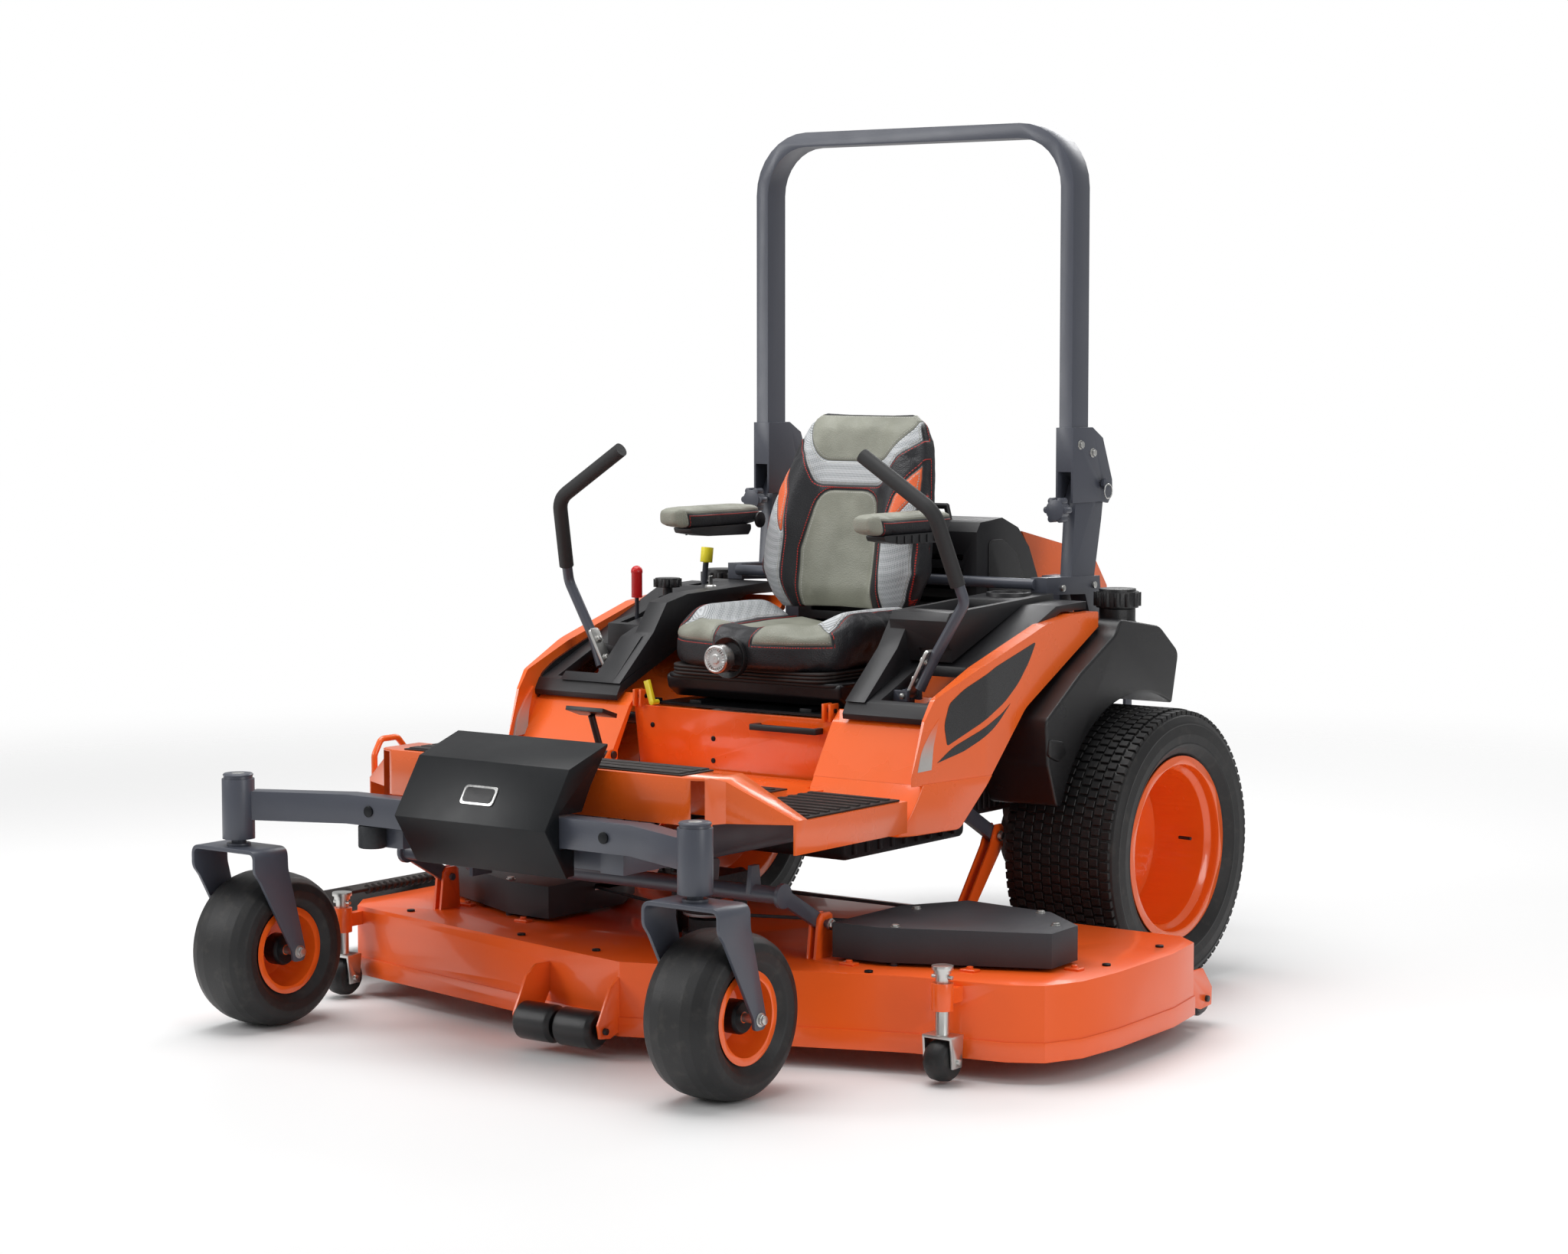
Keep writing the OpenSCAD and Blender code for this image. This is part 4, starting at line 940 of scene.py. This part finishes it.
def decals():
    """Plain shapes on the pods' sides: a dark drop, a dark sweep under it and a pale fade."""
    drop = rounded(mm((138, 812), (-23, 769), (-137, 727), (-183, 700), (-200, 655), (-190, 609),
        (-83, 648), (11, 688), (66, 725), (110, 770)), [0.004, 0.2, 0.2, 0.03, 0.05, 0.006, 0.2, 0.2,
        0.2, 0.2], 8)
    sweep = rounded(mm((-222, 575), (-172, 605), (-83, 633), (0, 664), (34, 683), (-22, 639),
        (-83, 612), (-136, 593)), [0, 0.2, 0.2, 0.2, 0, 0.2, 0.2, 0.2], 8)
    fade = rounded(mm((-215, 672), (-244, 643), (-272, 605), (-284, 560), (-240, 562), (-234, 613)),
        [0, 0.1, 0.1, 0, 0, 0.1], 8)
    f = Finish("decal_black", coat_weight=0.5, coat_roughness=0.1)
    film = f.wear(colour=f.blend(f.noise(18, 3), (0.006, 0.006, 0.007, 1), (0.014, 0.014, 0.016, 1)),
        roughness=f.noise(60, 3) * 0.1 + 0.22, normal=f.bump(f.noise(300, 2), 0.0002, 0.2))
    f = Finish("decal_fade", coat_weight=0.5, coat_roughness=0.1)
    pale = f.blend(f.noise(30, 3), (0.42, 0.42, 0.40, 1), (0.50, 0.50, 0.48, 1))
    grain = f.noise(420, 2)
    haze = f.wear(colour=f.blend(f.axis("Z").above(0.625, 0.05), pale, (*ORANGE, 1)),
        roughness=grain * 0.1 + 0.24, normal=f.bump(grain, 0.0002, 0.2))
    for name, outlines, look, slot in (("pod_decal", (drop, sweep), film, "black_plastic"),
            ("pod_fade", (fade,), haze, "orange_paint")):
        parts = [pod_part(name, outline, 0.560, 0.0007, 0.535, 0.95) for outline in outlines]
        finish(both_sides(joined(name, parts)), look, "chassis", slot=slot)


def fenders():
    """The soft-edged fuel tanks over the drive tyres, with their filler necks."""
    outline = rounded(mm((150, 440), (112, 540), (104, 640), (250, 735), (400, 812), (420, 846),
        (600, 818), (688, 752), (660, 640), (640, 560), (500, 520)),
        [0.02, 0.05, 0.03, 0.08, 0.05, 0.03, 0.07, 0.03, 0.03, 0, 0], 6)
    tank = slab("fuel_tank_shells", outline, "X", 0.472, 0.650)
    boolean(tank, rod("arch", (0.40, 0.5, 0.32), (0.70, 0.5, 0.32), 0.350, 0, 128), "DIFFERENCE")
    edge_bevel(tank, 0.020, 6, 38)
    neck = turned("neck", rounded(mm((33, 800), (52, 800), (46, 826), (42, 832), (42, 861.5),
        (33, 861.5)), 0.003, 3), (0.575, 0.530, 0), "Z")
    ledge = slab("ledge", rounded(mm((110, 560), (150, 545), (185, 560), (170, 590), (112, 600)),
        0.012), "X", 0.470, 0.655, 0.004)
    finish(both_sides(joined("fuel_tank_shells", [tank, neck, ledge])), gloss_plastic, "chassis",
        "fuel_tanks", "black_plastic")


def panel_details():
    """Covers, screws, lever boots and switches on the panels and consoles."""
    cover = slab("radiator_side_covers", rounded(mm((470, 700), (640, 700), (640, 880), (590, 975),
        (530, 1010), (470, 1010)), [0.02, 0.02, 0.05, 0.05, 0.05, 0.02]), "X", 0.2575, 0.2610, 0.0016)
    finish(both_sides(cover), gloss_plastic, "chassis", slot="black_plastic")
    dart = slab("hood_accents", rounded(mm((800, 930), (1010, 855), (1045, 760), (990, 800),
        (940, 870)), 0.01), "X", 0.2395, 0.2412, 0.0007)
    finish(both_sides(dart), cover_plastic, "hood")
    screws = [rod("panel_screws", (x, -0.1855, z), (x, -0.1835, z), 0.006, 0.0006, 24)
        for x, z in ((-0.055, 0.580), (-0.055, 0.530), (-0.230, 0.600), (0.255, 0.560))]
    finish(joined("panel_screws", screws), black_steel, "chassis")
    for which, side in SIDES:
        ring = rounded([(side * x, y) for x, y in ((0.398, -0.178), (0.522, -0.178), (0.522, -0.018),
            (0.398, -0.018))], 0.02, 6)
        well = rounded([(side * x, y) for x, y in ((0.402, -0.142), (0.424, -0.142), (0.424, -0.048),
            (0.402, -0.048))], 0.008, 6)
        boot = slab(f"lever_boot_{which}", ring, "Z", 0.640, 0.646, 0.001)
        boolean(boot, slab("well", well, "Z", 0.60, 0.70), "DIFFERENCE")
        finish(boot, mat_rubber, "chassis")
    # A key switch and two rocker switches beside the height dial
    barrel = turned("key_switch", rounded([(POLE, 0.0), (0.014, 0.0), (0.014, 0.008), (0.011, 0.011),
        (POLE, 0.011)], 0.001, 3), (-0.385, 0.235, 0.8795), "Z", 48)
    key = block("key", (-0.3862, 0.228, 0.888), (-0.3838, 0.242, 0.912), 0.0006, 1)
    finish(joined("key_switch", [barrel, key]), zinc, "chassis")
    rockers = [block("rocker_switches", (-0.402, y, 0.868), (-0.372, y + 0.018, 0.868 + rise), 0.002)
        for y, rise in ((0.150, 0.001), (0.182, 0.006))]
    finish(joined("rocker_switches", rockers), gloss_plastic, "chassis", slot="black_plastic")
    buckle = block("seat_buckle", (0.2535, 0.205, 0.800), (0.2755, 0.240, 0.862), 0.004)
    finish(buckle, gloss_plastic, "seat_cushion", slot="black_plastic")
    button = block("buckle_button", (0.2565, 0.208, 0.8615), (0.2725, 0.237, 0.868), 0.002)
    finish(button, red_plastic, "seat_cushion")
    # A plain plate on the weight box
    for name, grow, rise, look, slot in (("weight_plate_frame", 0.0, 0.0026, knob_metal, "knob_metal"),
            ("weight_plate", 0.005, 0.0034, gloss_plastic, "black_plastic")):
        w, h = 0.045 - grow, 0.022 - grow
        plate = slab(name, rounded([(-w, -h), (w, -h), (w, h), (-w, h)], 0.010, 6), "Z", 0.0, rise,
            0.0008)
        plate.rotation_euler = (math.radians(90 - 33.2), 0, 0)
        plate.location = (0, -1.042, 0.5475)
        finish(plate, look, "chassis", slot=slot)
    grip = tube("step_handle", mm((-575, -640, 508), (-575, -640, 565), (-575, -668, 594),
        (-575, -720, 594), (-575, -742, 560), (-575, -742, 508)), 0.007, 0.02, 8)
    finish(grip, orange, "chassis")


side_pods()
decals()
fenders()
panel_details()


# ---- Wheels and forks ----


def ring_array(piece, count, centre):
    """Repeats a piece round an axle along X through the centre."""
    turn = math.tau / count
    y, z = centre[1], centre[2]
    bpy.ops.object.empty_add(rotation=(turn, 0, 0), location=(0,
        y - y * math.cos(turn) + z * math.sin(turn), z - y * math.sin(turn) - z * math.cos(turn)))
    pivot = bpy.context.object
    bpy.context.view_layer.update()
    modify(piece, "ARRAY", count=count, use_relative_offset=False, use_object_offset=True,
        offset_object=pivot)
    bpy.data.objects.remove(pivot, do_unlink=True)


def drive_wheel(name, side):
    """A turf tyre with zig-zag rows of small blocks, and the bolts and valve of its rim."""
    body = f"rear_wheel_{name}"
    x, y, z = 0.626 * side, 0.5, 0.32
    half = [(0.202, 0.116), (0.206, 0.124), (0.214, 0.126), (0.219, 0.132), (0.236, 0.1455),
        (0.240, 0.1475), (0.243, 0.1468), (0.262, 0.1490), (0.284, 0.1468), (0.287, 0.1478),
        (0.291, 0.1460), (0.303, 0.1385), (0.3105, 0.126), (0.3135, 0.105)]
    profile = [(r, -w) for r, w in half] + [(0.3145, 0.0)] + [(r, w) for r, w in reversed(half)]
    carcass = turned("carcass", rounded(profile, 0.004, 3), (x, y, z), "X", 112)
    rows = []
    for i in range(11):
        at = (i - 5) * 0.0248
        fall = 0.0 if abs(at) < 0.10 else 0.0042
        shift = 0.0035 if i % 2 else -0.0035
        rows.append(block("tread_block", (x + at - 0.0108, y - 0.0082 + shift, z + 0.308 - fall),
            (x + at + 0.0108, y + 0.0082 + shift, z + 0.3193 - fall), 0.0011, 1))
    tread = joined("tread", rows)
    ring_array(tread, 88, (x, y, z))
    finish(joined(f"drive_tyre_{name}", [carcass, tread]), tyre_rubber, body, f"rear_tyre_{name}")
    face = x - 0.030 * side
    bolts = [bolt("wheel_bolts", (face - 0.0015 * side, y + 0.044 * math.cos(a),
        z + 0.044 * math.sin(a)), "X", 0.009, 1.0, side) for a in [math.tau * i / 5 for i in range(5)]]
    finish(joined(f"wheel_bolts_{name}", bolts), zinc, body)
    valve = rod(f"valve_{name}", (x + 0.050 * side, y + 0.150, z), (x + 0.084 * side, y + 0.146, z),
        0.004, 0.001, 16)
    finish(valve, plastic, body)


def caster(name, side):
    """A smooth caster tyre, its fork bent from one plate, the axle with its nuts, and the hub."""
    x, y, z = 0.619 * side, -1.036, 0.167
    stem_y = -1.118
    half = mm((86, 60), (96, 63), (112, 78.5), (130, 82.5), (146, 78.5), (157, 66.5), (164, 48.5),
        (167, 26))
    profile = [(r, -w) for r, w in half] + [(0.167, 0.0)] + [(r, w) for r, w in reversed(half)]
    tyre = turned(f"front_tyre_{name}", rounded(profile, 0.012, 5), (x, y, z), "X", 112)
    finish(tyre, tyre_rubber, f"caster_wheel_{name}", f"caster_tyre_{name}")
    rise = mm((95.5, 140), (95.5, 400), (-95.5, 400), (-95.5, 140), (-87.5, 140), (-87.5, 391),
        (87.5, 391), (87.5, 140))
    strip = slab("strip", rounded([(x + w, h) for w, h in rise], [0, 0.022, 0.022, 0, 0, 0.012, 0.012,
        0], 8), "Y", -1.18, -1.00)
    leg = rounded(mm((-1166, 405), (-1068, 405), (-1066, 352), (-1018, 176), (-1018, 146), (-1054, 146),
        (-1055, 168), (-1148, 330), (-1166, 352)), [0, 0, 0.04, 0.02, 0.014, 0.014, 0.02, 0.05, 0.03],
        6)
    boolean(strip, slab("leg", leg, "X", x - 0.12, x + 0.12), "INTERSECT")
    edge_bevel(strip, 0.0012, 2, 40)
    stem = rod("stem", (x, stem_y, 0.392), (x, stem_y, 0.534), 0.016, 0.001, 48)
    washer = rod("washer", (x, stem_y, 0.3995), (x, stem_y, 0.406), 0.026, 0.001, 48)
    fork = joined(f"fork_{name}", [strip, stem, washer])
    finish(fork, slate, f"caster_fork_{name}", f"caster_fork_{name}")
    parts = [rod("axle", (x - 0.1075, y, z), (x + 0.1075, y, z), 0.009, 0.001, 32)]
    for way in (1, -1):
        parts.append(bolt("nut", (x + 0.0955 * way, y, z), "X", 0.0115, 0.5, way))
    finish(joined(f"caster_axle_{name}", parts), zinc, f"caster_fork_{name}")
    cap = turned(f"stem_cap_{name}", rounded([(POLE, 0.5495), (0.031, 0.5495), (0.033, 0.5525),
        (0.030, 0.5555), (POLE, 0.5558)], 0.0015, 3), (x, stem_y, 0), "Z", 64)
    finish(cap, slate, "chassis")
    hub = turned(f"caster_hub_{name}", rounded(mm((10.5, 56.5), (30, 56.5), (34, 50), (34, 20),
        (10.5, 20)), 0.002, 3), (x, y, z), "X", 48)
    outer = copied(hub, "outer_hub")
    for vertex in outer.data.vertices:
        vertex.co.x = 2 * x - vertex.co.x
    activate(outer)
    edit((bpy.ops.mesh.flip_normals, {}))
    finish(joined(f"caster_hub_{name}", [hub, outer]), black_steel, f"caster_wheel_{name}")


for name, side in SIDES:
    drive_wheel(name, side)
    caster(name, side)


# ---- Levers, roll bar and deck details ----


def lever(name, side):
    """A slotted plate, a bent steel rod and a foam grip."""
    body = f"lever_{name}"

    def at(points):
        return [(side * px, py, pz) for px, py, pz in points]

    shaft = tube(f"lever_rod_{name}", at(mm((451, -100, 716), (482, -92, 784), (559, -87, 910),
        (552, -104, 956))), 0.0122, 0.035, 8)
    finish(shaft, slate, body)
    grip = tube(f"lever_grip_{name}", at([(0.552, -0.104, 0.948), (0.527, -0.159, 1.108),
        (0.339, -0.161, 1.227)]), 0.017, 0.06, 8)
    finish(edge_bevel(grip, 0.003, 3, 50), foam_grip, body, body, "black_plastic")
    outline = rounded(mm((-16, -5.5), (16, -5.5), (16, 114), (-16, 114)), 0.008, 6)
    plate = slab(f"lever_plate_{name}", outline, "X", -0.004, 0.004, 0.0006)
    for low, high in ((0.028, 0.046), (0.076, 0.094)):
        slot = rounded([(-0.0065, low), (0.0065, low), (0.0065, high), (-0.0065, high)], 0.006, 6)
        boolean(plate, slab("slot", slot, "X", -0.01, 0.01), "DIFFERENCE")
    heads = [plate]
    for height in (0.037, 0.085):
        heads.append(bolt("head", (0.004, 0, height), "X", 0.0075, 0.8, 1))
        heads.append(bolt("nut", (-0.004, 0, height), "X", 0.0075, 0.8, -1))
    plate = joined(f"lever_plate_{name}", heads)
    plate.rotation_euler = (0, math.radians(28 * side), 0)
    plate.location = (side * 0.424, -0.098, 0.702)
    activate(plate)
    settle()
    pin = rod("pin", (side * 0.424, -0.132, 0.702), (side * 0.424, -0.064, 0.702), 0.006, 0.0008)
    finish(joined(f"lever_plate_{name}", [plate, pin]), zinc, body)


def roll_bar_details():
    """Ring clips on the hinge pins, and bolts through the cheeks."""
    for name, side in SIDES:
        x = 0.4775 * side
        wire = [(x + 0.003 * side, 0.643 + 0.017 * math.cos(a), 1.124 + 0.017 * math.sin(a))
            for a in [math.tau * i / 40 for i in range(40)]]
        clip = tube(f"ring_clip_{name}", wire, 0.0016, 0, 4, True)
        finish(clip, zinc, "chassis")
        bolts = [bolt("cheek_bolts", (0.463 * side, y, z), "X", 0.009, 0.7, side)
            for y, z in ((0.545, 1.235), (0.600, 1.215))]
        finish(joined(f"cheek_bolts_{name}", bolts), zinc, "rops_hoop")


def deck_details():
    """Bolt heads on the covers, their tabs, and bolts round the skirt."""
    heads = [bolt("cover_bolts", (x, y, 0.280), "Z", 0.0085, 0.5)
        for x, y in ((0.700, -0.555), (0.955, -0.345), (0.610, -0.345), (0.850, -0.235),
        (-0.340, -0.555), (-0.595, -0.345), (-0.250, -0.345), (-0.490, -0.235))]
    finish(joined("cover_bolts", heads), zinc, "deck")
    spots = ((0.620, -0.606), (0.860, -0.520), (1.022, -0.380), (-0.260, -0.606), (-0.500, -0.520),
        (-0.662, -0.380))
    tabs = [block("cover_tabs", (x - 0.018, y - 0.012, 0.1995), (x + 0.018, y + 0.012, 0.2055), 0.002)
        for x, y in spots]
    tabs += [bolt("tab_bolt", (x, y, 0.2054), "Z", 0.007, 0.6) for x, y in spots]
    finish(joined("cover_tabs", tabs), deck_orange, "deck")
    bosses = [rod("skirt_bolts", (x, y, 0.1995), (x, y, 0.2045), 0.009, 0.001, 24)
        for x, y in ((-0.55, -0.655), (-0.15, -0.740), (0.10, -0.790), (0.42, -0.750), (0.70, -0.650),
        (1.05, -0.30), (1.03, -0.05), (-0.70, 0.02), (-0.70, -0.30))]
    finish(joined("skirt_bolts", bosses), black_steel, "deck")


def lift_details():
    """Hex heads on the lift pivots, caps on the front beam, and a small reservoir under it."""
    for name, y, z, x, body in (("front_pivot_bolts", -0.565, 0.271, 0.5455, "front_lift_arms"),
            ("rear_pivot_bolts", 0.196, 0.359, 0.4715, "rear_lift_arms")):
        heads = [bolt(name, (way * x, y, z), "X", 0.010, 0.6, way) for way in (1, -1)]
        finish(joined(name, heads), zinc, body)
    caps = [rod("beam_caps", (x, -1.035, 0.487), (x, -1.029, 0.487), 0.012, 0.001, 32)
        for x in (-0.32, 0.32)]
    finish(joined("beam_caps", caps), black_steel, "chassis")
    can = rod("side_reservoir", (-0.34, -1.000, 0.4545), (-0.34, -1.000, 0.405), 0.030, 0.004, 48)
    finish(can, engine_grey, "chassis")


for name, side in SIDES:
    lever(name, side)
roll_bar_details()
deck_details()
lift_details()


# ---- Under the body ----


def underbody():
    """Pump housings, guards, hangers, a gear casing and a pan in the dark space above the deck."""
    for name, side in SIDES:

        def at(x, y, z):
            return (side * x, y, z)

        shell = block(f"pump_housing_{name}", (min(side * 0.336, side * 0.425), 0.110, 0.405),
            (max(side * 0.336, side * 0.425), 0.330, 0.520), 0.010)
        fins = [block("fin", (min(side * 0.425, side * 0.432), 0.122 + i * 0.022, 0.418),
            (max(side * 0.425, side * 0.432), 0.130 + i * 0.022, 0.508), 0.0015, 1) for i in range(9)]
        drum = rod("drum", at(0.336, 0.220, 0.530), at(0.425, 0.220, 0.530), 0.052, 0.004, 64)
        finish(joined(f"pump_housing_{name}", [shell, drum] + fins), engine_grey, "chassis")
        guard = slab(f"inner_guard_{name}", rounded(mm((-330, 405), (40, 405), (40, 500), (-60, 498),
            (-140, 420), (-330, 420)), 0.008), "X", side * 0.3345, side * 0.3385, 0.001)
        finish(guard, black_steel, "chassis")
        hanger = slab(f"front_hanger_{name}", rounded(mm((-742, 404), (-660, 404), (-668, 352),
            (-684, 322), (-716, 322), (-732, 352)), 0.012), "X", side * 0.3065, side * 0.3300, 0.002)
        finish(hanger, slate, "chassis")
    case = slab("transmission_case", rounded(mm((-110, 318), (380, 318), (380, 398), (-60, 398),
        (-110, 360)), 0.02), "X", -0.255, 0.255, 0.010)
    ribs = [block("rib", (-0.262, -0.080 + i * 0.05, 0.330), (0.262, -0.068 + i * 0.05, 0.390), 0.003,
        2) for i in range(9)]
    finish(joined("transmission_case", [case] + ribs), engine_grey, "chassis")
    pan = slab("belly_pan", rounded(mm((-262, -80), (262, -80), (262, 20), (-262, 20)), 0.01), "Z",
        0.4815, 0.4850, 0.001)
    finish(pan, black_steel, "chassis")


underbody()
